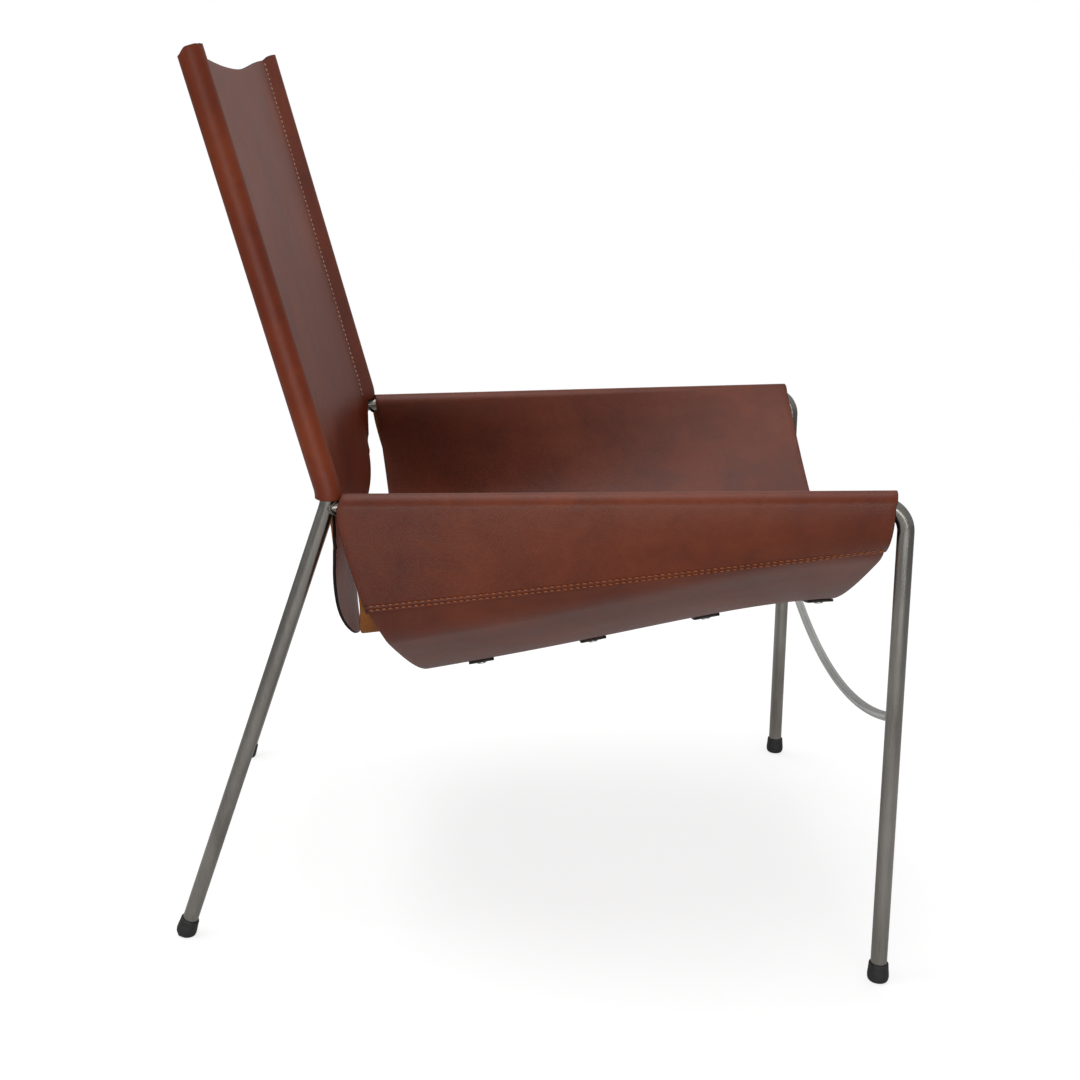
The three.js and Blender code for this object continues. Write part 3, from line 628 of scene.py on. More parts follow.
def lobe_back(x, height):
    fall = (LOBE_RIDGE_HEIGHT - height) / (LOBE_RIDGE_HEIGHT - LOBE_BOTTOM_HEIGHT)
    lean = LOBE_RIDGE_BACK - LOBE_TIP_BACK - LOBE_TIP_CURL
    cup = LOBE_CUP * max(0, fall) ** LOBE_CUP_POWER - LOBE_RIDGE_CROWN
    return (LOBE_RIDGE_BACK - lean * fall - LOBE_TIP_CURL * fall * fall
            + cup * (x / LOBE_CUP_SPAN) ** 2)


def lobe_point(top, share):
    height = between(top.z, lobe_edge_height(top.x), share)
    if height >= LOBE_RIDGE_HEIGHT:
        ridge = lobe_back(top.x, LOBE_RIDGE_HEIGHT)
        back = between(top.y, ridge, (top.z - height) / (top.z - LOBE_RIDGE_HEIGHT))
    else:
        back = lobe_back(top.x, height)
    # The lobe hangs a little further forward on its left
    left = (max(0, top.x) / LOBE_SHOULDER_HALF) ** LOBE_LEFT_POWER
    back -= LOBE_LEFT_SET * left * eased(height, *LOBE_LEFT_EASE)
    return Vector((top.x, back, height))


def back_rows():
    rows = [back_row(row / SLEEVE_ROWS) for row in range(SLEEVE_ROWS + 1)]
    last = rows[-1]
    for row in range(1, LOBE_ROWS + 1):
        rows.append([lobe_point(top, row / LOBE_ROWS) for top in last])
    # The fold where the back turns down into the lobe is rounded along each column
    for column in range(CORNER_COLUMN + 1, len(last) - CORNER_COLUMN - 1):
        inset = min(column, len(last) - 1 - column) - CORNER_COLUMN
        soften([row[column] for row in rows], FOLD_REACH * eased(inset, *FOLD_COLUMN_EASE))
    return rows


def soften(points, reach):
    """Moves each point of a column to the mean back of the heights near it, where the reach is
    the spread of their bell-shaped weights."""
    heights = [-point.z for point in points]
    backs = [point.y for point in points]

    def back_at(height):
        index = min(max(bisect.bisect_left(heights, -height), 1), len(heights) - 1)
        share = (-height - heights[index - 1]) / (heights[index] - heights[index - 1])
        return between(backs[index - 1], backs[index], share)

    steps = range(-2 * SPREAD_STEPS, 2 * SPREAD_STEPS + 1)
    weights = [math.exp(-step * step / (2 * SPREAD_STEPS ** 2)) for step in steps]
    for point in points:
        near = reach * eased(abs(point.z - FOLD_HEIGHT), *FOLD_EASE)
        if near > 0.1:
            backs_near = [back_at(point.z + near * step / SPREAD_STEPS) for step in steps]
            point.y = sum(w * b for w, b in zip(weights, backs_near)) / sum(weights)


def back_keeps(row, column):
    last = 2 * STITCH_COLUMN + PANEL_STEPS
    return row < SLEEVE_ROWS or CORNER_COLUMN <= column < last - CORNER_COLUMN


# ------------ seat hide surface
def rail_at(back):
    share = back / BEND_BACK
    return Vector((between(FRONT_TRACK, BEND_TRACK, share) / 2,
                   between(RAIL_FRONT_HEIGHT, RAIL_REAR_HEIGHT, share)))


def bezier(points, share):
    while len(points) > 1:
        points = [before.lerp(after, share) for before, after in zip(points, points[1:])]
    return points[0]


def flap_point(station, back, share):
    rail = rail_at(back)
    start = Vector((rail.x + WRAP_RADIUS, rail.y))
    shoulder = start - Vector((0, between(*FLAP_SHOULDER_DROP, station)))
    sag = FLAP_EDGE_SAG * (1 - (2 * station - 1) ** 2)
    edge = Vector((between(*FLAP_EDGE_HALF, station),
                   between(*FLAP_EDGE_HEIGHT, station) - sag))
    return bezier([start, shoulder, edge], share)


def flap_back(station, share):
    rear = FLAP_REAR_BACK - FLAP_REAR_SWEEP * share ** FLAP_SWEEP_POWER
    return between(SEAT_FRONT_BACK, rear, station)


def flap_place(station, share):
    back = flap_back(station, share)
    point = flap_point(station, back, share)
    return Vector((point.x, back, point.y))


def inner_curve(station, back):
    rail = rail_at(back)
    leave = between(*INNER_LEAVE, station)
    start = Vector((math.cos(leave), math.sin(leave))) * WRAP_RADIUS + rail
    direction = Vector((-math.sin(leave), math.cos(leave)))
    height = between(*SEAT_HEIGHT, station)
    return [
        start,
        start + direction * between(*INNER_HANDLE, station),
        Vector((between(*SEAT_FLAT, station), height)),
        Vector((0, height)),
    ]


def inner_back(station, height):
    front = INNER_FRONT_BACK - INNER_FRONT_SLANT * max(0, RAIL_FRONT_HEIGHT - height)
    rear = INNER_REAR_BACK - INNER_REAR_SLANT * max(0, RAIL_REAR_HEIGHT - height)
    return between(front, rear, station)


SEAT_ROWS = 72
FLAP_STEPS = 20
WRAP_STEPS = 24
INNER_STEPS = 44


def seat_half_row(station):
    """One row of the seat hide, from the flap's edge over the rail to the middle."""
    row = [flap_place(station, step / FLAP_STEPS) for step in range(FLAP_STEPS, 0, -1)]
    leave = between(*INNER_LEAVE, station)
    for step in range(WRAP_STEPS):
        share = step / WRAP_STEPS
        back = between(flap_back(station, 0), inner_back(station, RAIL_FRONT_HEIGHT),
                       share ** WRAP_EASE_POWER)
        angle = leave * share
        point = Vector((math.cos(angle), math.sin(angle))) * WRAP_RADIUS + rail_at(back)
        row.append(Vector((point.x, back, point.y)))
    for step in range(INNER_STEPS + 1):
        share = step / INNER_STEPS
        guess = bezier(inner_curve(station, inner_back(station, RAIL_FRONT_HEIGHT)), share)
        back = inner_back(station, guess.y)
        point = bezier(inner_curve(station, back), share)
        row.append(Vector((point.x, back, point.y)))
    return row


def mirrored(point):
    return Vector((-point.x, point.y, point.z))


def seat_rows():
    rows = []
    for step in range(SEAT_ROWS + 1):
        half = seat_half_row(step / SEAT_ROWS)
        row = half + [mirrored(point) for point in half[-2::-1]]
        # The rear corner of the trough sits a little higher and further back on the right
        for point in row[len(half):-FLAP_STEPS - WRAP_STEPS]:
            share = eased(step / SEAT_ROWS, *SEAT_CORNER_REAR_EASE)
            share *= eased(point.z, *SEAT_CORNER_LOW_EASE)
            share *= eased(point.x, *SEAT_CORNER_RIGHT_EASE)
            point.y += SEAT_CORNER_SET * share
            point.z += SEAT_CORNER_RISE * share
        rows.append(row)
    return rows


# ------------ belly panel surface
def belly_height(station, x):
    hump = station * (1 - station) ** 3 / (0.25 * 0.75 ** 3)
    middle = between(*BELLY_HEIGHT, station) + BELLY_HUMP * hump
    return middle - BELLY_ROUND + math.hypot(BELLY_ROUND, BELLY_SLOPE * x)


def belly_back(station, x):
    knee = between(*KNEE_HALF, station)
    share = (knee - abs(x)) / (KNEE_HALF[1] - BELLY_INNER_HALF)
    rear = between(KNEE_REAR_BACK, INNER_EDGE_REAR_BACK, share)
    return between(SEAT_FRONT_BACK, rear, station)


def belly_place(station, x):
    return Vector((x, belly_back(station, x), belly_height(station, x)))


OVERLAP_STEPS = 6
RUN_STEPS = 4
KNEE_STEPS = 10
BELLY_STEPS = 36


def belly_half_row(station):
    """One row of a belly panel: under the flap, down to the knee and in to the middle."""
    row = []
    before = flap_point(station, flap_back(station, OVERLAP_SHARE), OVERLAP_SHARE)
    after = flap_point(station, flap_back(station, 1), 1)
    inward = Vector((after.y - before.y, before.x - after.x)).normalized()
    for step in range(OVERLAP_STEPS + 1):
        share = between(OVERLAP_SHARE, 1, step / OVERLAP_STEPS)
        back = flap_back(station, share) - OVERLAP_REAR_TRIM * station
        point = flap_point(station, back, share) + inward * (LEATHER + SEAM_GAP)
        row.append(Vector((point.x, back, point.y)))
    knee_half = between(*KNEE_HALF, station)
    knee = belly_place(station, knee_half)
    last = row[-1]
    bend = [last.lerp(knee, 0.5), knee, belly_place(station, knee_half - KNEE_ROUND)]
    row += [last.lerp(bend[0], step / RUN_STEPS) for step in range(1, RUN_STEPS)]
    row += [bezier(bend, step / KNEE_STEPS) for step in range(KNEE_STEPS + 1)]
    for step in range(1, BELLY_STEPS + 1):
        x = between(knee_half - KNEE_ROUND, BELLY_INNER_HALF, step / BELLY_STEPS)
        row.append(belly_place(station, x))
    return row


def belly_surface(x, back):
    station = (back - SEAT_FRONT_BACK) / (belly_back(1, x) - SEAT_FRONT_BACK)
    return Vector((x, back, belly_height(station, x)))


def belly_normal(x, back):
    step = STRAP_THICKNESS
    across = belly_surface(x + step, back) - belly_surface(x - step, back)
    along = belly_surface(x, back + step) - belly_surface(x, back - step)
    return across.cross(along).normalized()


# ------------ finishes
class Wire:
    """A socket that can stand in plain arithmetic."""

    def __init__(self, graph, socket):
        self.graph = graph
        self.socket = socket

    def falling(self):
        """e to the power of minus this."""
        return self.graph.add("Math", {0: math.e, 1: self * -1}, operation="POWER")

    def ramp(self, low, high, start=0, end=1):
        """The start below low and the end above high, with soft ends."""
        inputs = {"Value": self, "From Min": low, "From Max": high, "To Min": start, "To Max": end}
        return self.graph.add("MapRange", inputs, interpolation_type="SMOOTHSTEP")


def give_wires(method, operation, turned_round=False):
    def work(wire, *others):
        values = (*others, wire) if turned_round else (wire, *others)
        return wire.graph.add("Math", dict(enumerate(values)), operation=operation)

    setattr(Wire, method, work)


for word, sign in {"add": "ADD", "mul": "MULTIPLY", "sub": "SUBTRACT"}.items():
    give_wires(f"__{word}__", sign)
    give_wires(f"__r{word}__", sign, turned_round=True)
for word, sign in {"__truediv__": "DIVIDE", "__abs__": "ABSOLUTE", "most": "MAXIMUM",
                   "part": "FRACT", "sine": "SINE"}.items():
    give_wires(word, sign)


class Graph:
    """A node tree built node by node."""

    def __init__(self, tree):
        self.tree = tree
        tree.nodes.clear()

    def add(self, kind, inputs, output=0, **settings):
        """A node with its inputs linked or filled in, as a wire from one output."""
        node = self.tree.nodes.new("ShaderNode" + kind)
        for key, value in settings.items():
            setattr(node, key, value)
        for key, value in inputs.items():
            if isinstance(value, Wire):
                self.tree.links.new(value.socket, node.inputs[key])
            elif isinstance(value, tuple) and len(value) == 3 and node.inputs[key].type == "RGBA":
                node.inputs[key].default_value = (*value, 1)
            else:
                node.inputs[key].default_value = value
        return Wire(self, node.outputs[output]) if len(node.outputs) else None

    def ray(self, kind):
        return self.add("LightPath", {}, f"Is {kind} Ray")


class Finish(Graph):
    """A material in its piece's own coordinates."""

    def __init__(self, name):
        self.material = bpy.data.materials.new(name)
        self.material.use_nodes = True
        super().__init__(self.material.node_tree)
        self.place = self.add("TexCoord", {}, "Object")

    def stretched(self, scale, turn=(0, 0, 0)):
        return self.add("Mapping", {"Vector": self.place, "Scale": scale, "Rotation": turn})

    def noise(self, scale, detail, rough, vector=None, distort=0):
        return self.add("TexNoise", {"Vector": vector or self.place, "Scale": scale,
                                     "Detail": detail, "Roughness": rough, "Distortion": distort})

    def cells(self, scale, feature="F1", jitter=1):
        inputs = {"Vector": self.place, "Scale": scale, "Randomness": jitter}
        return self.add("TexVoronoi", inputs, "Distance", feature=feature)

    def mark(self, name):
        return self.add("Attribute", {}, "Fac", attribute_name=name)

    def tint(self, share, first, second):
        """A colour between two colours."""
        return self.add("Mix", {0: share, 6: first, 7: second}, 2, data_type="RGBA")

    def shades(self, share, stops):
        """A colour from a row of places and colours."""
        colour = self.add("ValToRGB", {"Fac": share}, "Color")
        elements = colour.socket.node.color_ramp.elements
        while len(elements) < len(stops):
            elements.new(0.5)
        for element, (position, shade) in zip(elements, stops):
            element.position = position
            element.color = (*shade, 1)
        return colour

    def surface(self, colour, rough, height, specular=0.5, metallic=0):
        """The finished material, with its relief given as a height in metres."""
        normal = self.add("Bump", {"Height": height, "Distance": 1, "Strength": 1}, "Normal")
        shader = self.add("BsdfPrincipled", {
            "Base Color": colour, "Roughness": rough, "Normal": normal,
            "Specular IOR Level": specular, "Metallic": metallic,
        })
        self.add("OutputMaterial", {"Surface": shader})
        return self.material


PRESSED_WIDTH = 0.0011
HOLE_WIDTH = 0.00062
# The seat's shades are the hide's red-brown with extra grey in them, a painted reflection veil of
# the pale room, so they are greyer than the back's
SEAT_SHADES_WITH_PAINTED_VEIL = [
    (0.34, (0.102, 0.019, 0.008)),
    (0.47, (0.150, 0.029, 0.011)),
    (0.56, (0.190, 0.039, 0.014)),
    (0.68, (0.240, 0.055, 0.020)),
]
BACK_SHADES = [
    (0.34, (0.125, 0.017, 0.005)),
    (0.47, (0.180, 0.027, 0.007)),
    (0.56, (0.225, 0.037, 0.009)),
    (0.68, (0.285, 0.053, 0.013)),
]


def hide_grain(name, shades, pitch, lines):
    """Smooth dyed hide: warm mottled brown, darker at its cut edges, fine pores and creases,
    and a pressed line with a hole for each stitch."""
    finish = Finish(name)
    cloud = finish.noise(5.5, 3, 0.5)
    patch = finish.noise(21, 4, 0.55, distort=0.6)
    fleck = finish.noise(160, 3, 0.6)
    streak = finish.noise(30, 3, 0.6, vector=finish.stretched((1, 0.16, 0.5), (0.3, 0.2, 0.5)))
    tone = cloud * 0.42 + patch * 0.3 + fleck * 0.1 + streak * 0.18
    colour = finish.shades(tone, shades)
    margin = finish.mark("margin")
    burnish = 1 - margin.ramp(0.0001, 0.0009)
    colour = finish.tint(burnish * 0.75, colour, (0.030, 0.008, 0.005))
    seam = finish.mark("seam")
    run = finish.mark("run")
    groove = None
    hole = None
    for line in lines:
        away = abs(seam - line * MM)
        press = (away * away * (1 / PRESSED_WIDTH ** 2)).falling()
        groove = press if groove is None else groove.most(press)
        along = ((run / (pitch * MM)).part() - 0.5) * (pitch * MM)
        spot = ((away * away + along * along) * (1 / HOLE_WIDTH ** 2)).falling()
        hole = spot if hole is None else hole.most(spot)
    colour = finish.tint(groove * 0.35, colour, (0.06, 0.012, 0.006))
    colour = finish.tint(hole * 0.95, colour, (0.008, 0.004, 0.003))
    pore = finish.cells(1150)
    pebble = finish.cells(620, "DISTANCE_TO_EDGE", jitter=0.9)
    fine = finish.noise(900, 3, 0.6)
    crease = abs(finish.noise(60, 5, 0.6, distort=1.2) - 0.5).ramp(0, 0.035)
    relief = fine * 0.3 + pebble.ramp(0, 0.18) * 0.3 + pore * 0.3 + crease * 0.16
    height = relief * 0.00016 - groove * 0.00035 - hole * 0.0006
    swell = finish.noise(16, 2, 0.5) * 0.0009
    rough = 0.3 + 0.1 * fleck + 0.1 * patch - 0.06 * burnish
    return finish.surface(colour, rough, height + swell, specular=0.3)


def hide_flesh(name):
    """The suede side: matt, lighter tan, with a short fibrous nap."""
    finish = Finish(name)
    nap = finish.noise(520, 5, 0.7)
    drift = finish.noise(38, 4, 0.6)
    streak = finish.noise(260, 3, 0.6, vector=finish.stretched((1, 0.2, 0.35)))
    colour = finish.shades(nap * 0.35 + drift * 0.4 + streak * 0.25, [
        (0.32, (0.22, 0.075, 0.020)),
        (0.5, (0.32, 0.115, 0.030)),
        (0.68, (0.41, 0.165, 0.048)),
    ])
    height = nap * 0.0004 + streak * 0.0003
    return finish.surface(colour, 0.82 + 0.1 * nap, height, specular=0.25)


def hide_edge(name):
    """Cut edges, dyed nearly black and rubbed to a soft shine."""
    finish = Finish(name)
    layer = finish.noise(700, 4, 0.6)
    colour = finish.shades(layer, [(0.35, (0.007, 0.004, 0.003)), (0.7, (0.020, 0.009, 0.006))])
    return finish.surface(colour, 0.6 + 0.2 * layer, layer * 0.00015, specular=0.12)


def drawn_steel(name, light, stretch):
    """Bare drawn steel under clear lacquer: long faint draw lines, darker clouds from the mill
    and heat, and fine specks."""
    finish = Finish(name)
    line = finish.noise(900, 3, 0.6, vector=finish.stretched(stretch))
    cloud = finish.noise(14, 4, 0.6, vector=finish.stretched(tuple(max(s, 0.3) for s in stretch)))
    speck = finish.noise(1400, 2, 0.5)
    tone = cloud * 0.7 + line * 0.2 + speck * 0.1
    colour = finish.shades(tone, [
        (0.34, tuple(c * 0.45 for c in light)),
        (0.5, light),
        (0.66, tuple(min(1, c * 1.35) for c in light)),
    ])
    height = line * 0.00003 + speck * 0.00003
    return finish.surface(colour, 0.2 + 0.16 * cloud, height, metallic=1)


def weld_metal(name):
    """Weld metal with straw and blue heat colours in its ripples."""
    finish = Finish(name)
    ripple = finish.noise(420, 3, 0.6)
    colour = finish.shades(ripple, [
        (0.3, (0.06, 0.052, 0.055)),
        (0.5, (0.14, 0.118, 0.095)),
        (0.7, (0.22, 0.205, 0.19)),
    ])
    return finish.surface(colour, 0.32 + 0.25 * ripple, ripple * 0.0002, metallic=1)


def moulded_rubber(name):
    finish = Finish(name)
    dust = finish.noise(240, 4, 0.6)
    speck = finish.cells(1600)
    colour = finish.shades(dust, [(0.35, (0.010, 0.010, 0.010)), (0.7, (0.026, 0.025, 0.024))])
    return finish.surface(colour, 0.5 + 0.25 * dust, speck * 0.00012 + dust * 0.0001)


def waxed_thread(name, groove_shade, pale):
    """Twisted waxed thread: slanted plies, with painted shade darkening their grooves."""
    finish = Finish(name)
    slanted = finish.add("VectorMath", {0: finish.place, 1: (0.35, 1.0, 0.9)}, "Value",
                         operation="DOT_PRODUCT")
    ply = (slanted * 7800).sine()
    fuzz = finish.noise(1500, 3, 0.6)
    share = ply * 0.25 + 0.4 + fuzz * 0.2
    colour = finish.shades(share, [(0.2, groove_shade), (0.7, pale)])
    return finish.surface(colour, 0.55 + 0.2 * fuzz, ply * 0.00008 + fuzz * 0.00008)


def strap_hide(name):
    """Thick black-dyed strap leather with a brown cast where it is rubbed."""
    finish = Finish(name)
    rub = finish.noise(70, 4, 0.6)
    grain = finish.cells(900, "DISTANCE_TO_EDGE")
    colour = finish.shades(rub, [(0.38, (0.007, 0.005, 0.004)), (0.7, (0.024, 0.016, 0.012))])
    height = grain.ramp(0, 0.2) * 0.00012 + rub * 0.0002
    return finish.surface(colour, 0.42 + 0.2 * rub, height)


# The seat hide and belly panels take the shades with the painted reflection veil
seat_grain_with_painted_veil = hide_grain("seat_hide_grain_with_painted_veil", SEAT_SHADES_WITH_PAINTED_VEIL, SEAM_STITCH["pitch"],
                        SEAM_OFFSETS.values())
back_grain = hide_grain("back_hide_grain", BACK_SHADES, BACK_STITCH["pitch"], (0,))
flesh = hide_flesh("hide_flesh_side")
cut_edge = hide_edge("hide_cut_edge")
tube_steel = drawn_steel("drawn_tube_steel", (0.285, 0.27, 0.247), (1, 1, 0.04))
rod_steel = drawn_steel("drawn_rod_steel", (0.58, 0.575, 0.56), (0.05, 1, 1))
bead_metal = weld_metal("weld_metal")
rubber = moulded_rubber("moulded_rubber")
# Each thread's first colour is painted shade for the grooves between its plies
orange_thread = waxed_thread("orange_waxed_thread", (0.27, 0.062, 0.018), (0.60, 0.185, 0.055))
tan_thread = waxed_thread("tan_waxed_thread", (0.34, 0.19, 0.12), (0.76, 0.52, 0.38))
strap_black = strap_hide("strap_hide_black")


# ------------ steel frame
def make_frame():
    for name, side in SIDES.items():
        leg = hollow(leg_and_rail(side, TUBE_RADIUS))
        cut_with(leg, cap_open_ends(upright_and_leg(side, TUBE_RADIUS + FIT_GAP)))
        finish_piece(smooth(leg), f"front_leg_and_arm_rail_{name}",
                     f"leg_and_arm_tube_{name}", tube_steel)
        upright = smooth(hollow(upright_and_leg(side, TUBE_RADIUS)))
        finish_piece(upright, f"back_upright_and_rear_leg_{name}",
                     f"back_and_rear_leg_tube_{name}", tube_steel)


def weld_bead(name, node, joint, along, post, run_radius, bead_radius):
    """A torus laid round the joint and pressed onto the tube's side, with laid ripples."""
    deselect_all()
    bpy.ops.mesh.primitive_torus_add(
        major_segments=72, minor_segments=12, major_radius=(run_radius + BEAD_LIFT) * MM,
        minor_radius=bead_radius * MM, location=(0, 0, 0)
    )
    bead = bpy.context.active_object
    first = along.cross(post).normalized()
    second = along.cross(first).normalized()
    along_flat = along - post * along.dot(post)
    reach = TUBE_RADIUS + BEAD_LIFT
    # Each point runs on along the joined piece until it meets the side of the post
    for vertex in bead.data.vertices:
        x, y, z = vertex.co / MM
        angle = math.atan2(y, x)
        ripple = 1
        for depth, count, turn in BEAD_RIPPLES:
            ripple += depth * math.sin(count * angle + turn)
        out = math.hypot(x, y) - run_radius - BEAD_LIFT
        ring = first * math.cos(angle) + second * math.sin(angle)
        foot = ring * (run_radius + BEAD_LIFT)
        foot_flat = foot - post * foot.dot(post)
        a = along_flat.length_squared
        b = 2 * along_flat.dot(foot_flat)
        c = foot_flat.length_squared - reach * reach
        distance = (-b + math.sqrt(max(0, b * b - 4 * a * c))) / (2 * a)
        point = joint + foot + ring * out * ripple + along * (distance + z * ripple)
        vertex.co = placed(point)
    finish_piece(smooth(settle(bead), 60), name, node, bead_metal)


def make_rail_beads():
    for name, side in SIDES.items():
        points = frame_points(side)
        forward = heading(points, "rail_end", "front_corner")
        post = heading(points, "rear_foot", "back_bend")
        post = (post + heading(points, "back_bend", "back_top")).normalized()
        weld_bead(f"arm_rail_weld_{name}", f"rail_weld_bead_{name}", points["rail_end"], forward,
                  post, TUBE_RADIUS, RAIL_BEAD_RADIUS)


def make_rods():
    lean = Vector((0, REAR_FOOT_BACK - BEND_BACK, -BEND_HEIGHT)).normalized()
    plans = {
        "front": ("front_foot", "front_corner", FRONT_ROD_HEIGHT, Vector((0, 0, -1)),
                  leg_and_rail),
        "rear": ("rear_foot", "back_bend", REAR_ROD_HEIGHT, lean, upright_and_leg),
    }
    for name, (low, high, height, down, leg) in plans.items():
        ends = {}
        for side_name, side in SIDES.items():
            points = frame_points(side)
            ends[side_name] = on_line(points[low], points[high], height)
        rod, direction = dipping_rod(ends["right"], ends["left"], down)
        for side in (1, -1):
            cut_with(rod, cap_open_ends(leg(side, TUBE_RADIUS + FIT_GAP)))
        finish_piece(smooth(rod), f"{name}_dipping_rod", f"{name}_brace_rod",
                     rod_steel)
        for side_name, side in SIDES.items():
            points = frame_points(side)
            post = heading(points, low, high)
            along = direction.copy()
            if side > 0:
                along.x = -along.x
            weld_bead(f"{name}_rod_weld_{side_name}", f"{name}_brace_weld_bead_{side_name}",
                      ends[side_name], along, post, ROD_RADIUS, ROD_BEAD_RADIUS)


AXIS_RADIUS = 0.01
FOOT_RINGS = [
    (6.6, 0), (7.6, 0.1), (8.7, 0.6), (9.5, 1.4), (10.1, 2.6), (10.45, 4.2), (10.6, 6),
    (10.5, 8.2), (10.25, 10.8), (9.95, 13.6), (9.75, 16.2), (9.65, 18.2), (9.4, 19.1),
    (9.0, FOOT_HEIGHT), (TUBE_RADIUS + FIT_GAP, FOOT_HEIGHT), (TUBE_RADIUS + FIT_GAP, FOOT_SOLE),
    (AXIS_RADIUS, FOOT_SOLE),
]


def make_feet_and_plugs():
    stem = TUBE_RADIUS - TUBE_WALL - FIT_GAP
    plug_rings = [
        (stem - 0.8, -PLUG_STEM), (stem, 1 - PLUG_STEM), (stem, FIT_GAP), (TUBE_RADIUS, FIT_GAP),
        (TUBE_RADIUS, PLUG_HEAD - 1), (TUBE_RADIUS - 0.25, PLUG_HEAD - 0.4),
        (TUBE_RADIUS - 0.8, PLUG_HEAD - 0.08), (TUBE_RADIUS - 1.5, PLUG_HEAD),
        (AXIS_RADIUS, PLUG_HEAD),
    ]
    for name, side in SIDES.items():
        points = frame_points(side)
        foot = turned(FOOT_RINGS, points["front_foot"], Vector((0, 0, 1)))
        finish_piece(smooth(foot, 50), f"front_rubber_foot_{name}",
                     f"front_foot_{name}", rubber)
        # The rear feet lean with their legs and are cut flat on the floor
        lean = heading(points, "rear_foot", "back_bend")
        rings = [(FOOT_RINGS[0][0], -FOOT_SPARE)] + FOOT_RINGS[1:]
        foot = turned(rings, points["rear_foot"], lean)
        with editing(foot):
            bpy.ops.mesh.select_all(action="SELECT")
            bpy.ops.mesh.bisect(plane_co=(0, 0, 0), plane_no=(0, 0, 1), use_fill=True,
                                clear_inner=True, threshold=MERGE_REACH)
        finish_piece(smooth(foot, 50), f"rear_rubber_foot_{name}",
                     f"rear_foot_{name}", rubber)
        upward = heading(points, "back_bend", "back_top")
        plug = smooth(turned(plug_rings, upright_top(side), upward), 50)
        finish_piece(plug, f"upright_end_plug_{name}", f"back_tube_plug_{name}", rubber)


# ------------ hides
def stitch_marks(rows, column, inboard):
    """Each point's distance inboard of the stitch line, and how far along that line it is."""
    runs = sheet_run([row[column] for row in rows])
    seam = []
    for row in rows:
        across = sheet_run(row)
        line = across[column] + inboard
        seam.append([min(place, across[-1] - place) - line for place in across])
    return {"seam": seam, "run": [[run] * len(rows[0]) for run in runs]}


def make_back_hide(rows):
    marks = stitch_marks(rows, STITCH_COLUMN, BACK_THREAD_INBOARD)
    return hide_piece("back_hide_and_sleeves", "back_hide", rows,
                      [back_grain, flesh, cut_edge], back_keeps, marks=marks, edge=1.15, sides=3)


def make_seat_hide():
    rows = seat_rows()
    return hide_piece("seat_sling_hide", "seat_hide", rows,
                      [seat_grain_with_painted_veil, flesh, cut_edge], flip=True, marks=stitch_marks(rows, 0, 0))


def make_belly_panels():
    made = []
    for name, side in SIDES.items():
        rows = []
        for step in range(SEAT_ROWS + 1):
            half = belly_half_row(step / SEAT_ROWS)
            rows.append(half if side > 0 else [mirrored(point) for point in half[::-1]])
        far = [[NO_STITCH] * len(rows[0])] * len(rows)
        made.append(hide_piece(f"belly_hide_{name}", f"belly_panel_{name}", rows,
                               [seat_grain_with_painted_veil, flesh, cut_edge], marks={"seam": far, "run": far}))
    return made


# ------------ straps and screw posts
def strap_back(index):
    return STRAP_FIRST_BACK + STRAP_PITCH * index


STRAP_STEPS = 56
STRAP_ROWS = 8


def make_straps():
    drop = (LEATHER + STRAP_THICKNESS) / 2 + FIT_GAP
    for index, name in enumerate(STRAP_NAMES):
        rows = []
        for across in range(STRAP_ROWS + 1):
            row = []
            for step in range(STRAP_STEPS + 1):
                x = between(STRAP_HALF_LENGTH, -STRAP_HALF_LENGTH, step / STRAP_STEPS)
                over = max(0, abs(x) - (STRAP_HALF_LENGTH - STRAP_CORNER))
                narrow = STRAP_CORNER - math.sqrt(max(0, STRAP_CORNER ** 2 - over ** 2))
                half = STRAP_WIDTH / 2 - narrow
                place = strap_back(index) + between(-half, half, across / STRAP_ROWS)
                row.append(belly_surface(x, place) - belly_normal(x, place) * drop)
            rows.append(row)
        hide_piece(f"{name}_black_strap", f"{name}_cross_strap", rows,
                   [strap_black], thickness=STRAP_THICKNESS, edge=0.6)


def make_posts():
    reach = (LEATHER + STRAP_THICKNESS + FIT_GAP) / 2 + POST_GAP
    top = reach + POST_HEAD
    upper = [(POST_RADIUS, reach), (POST_HEAD_RADIUS, reach), (POST_HEAD_RADIUS, top - 0.6),
             (POST_HEAD_RADIUS - 0.3, top - 0.2), (POST_HEAD_RADIUS - 0.9, top)]
    lower = [(radius, -height) for radius, height in upper[::-1]]
    rings = lower + upper + [(AXIS_RADIUS, top)]
    for index, name in enumerate(STRAP_NAMES):
        for side_name, side in SIDES.items():
            x = side * POST_HALF_SPAN
            up = belly_normal(x, strap_back(index))
            middle = belly_surface(x, strap_back(index)) - up * (STRAP_THICKNESS + FIT_GAP) / 2
            post = smooth(turned(rings, middle, up, 28))
            finish_piece(post, f"{name}_strap_post_{side_name}",
                         f"{name}_screw_post_{side_name}", rod_steel)


# ------------ stitching
def one_stitch(length, radius):
    """A short thread arched over the leather, its ends drawn down into the holes."""
    deselect_all()
    bpy.ops.mesh.primitive_cylinder_add(vertices=8, radius=radius * MM, depth=length * MM,
                                        end_fill_type="NGON", rotation=(0, math.pi / 2, 0))
    stitch = bpy.context.active_object
    settle(stitch)
    with editing(stitch):
        for place in STITCH_CUTS:
            bpy.ops.mesh.select_all(action="SELECT")
            bpy.ops.mesh.bisect(plane_co=(place * length * MM, 0, 0), plane_no=(1, 0, 0))
    for vertex in stitch.data.vertices:
        share = abs(vertex.co.x) / (length * MM / 2)
        slim = math.sqrt(max(STITCH_END_SLIM, 1 - share ** 3))
        vertex.co.y *= slim
        vertex.co.z = vertex.co.z * slim - STITCH_END_DROP * radius * MM * share ** 3
    return stitch


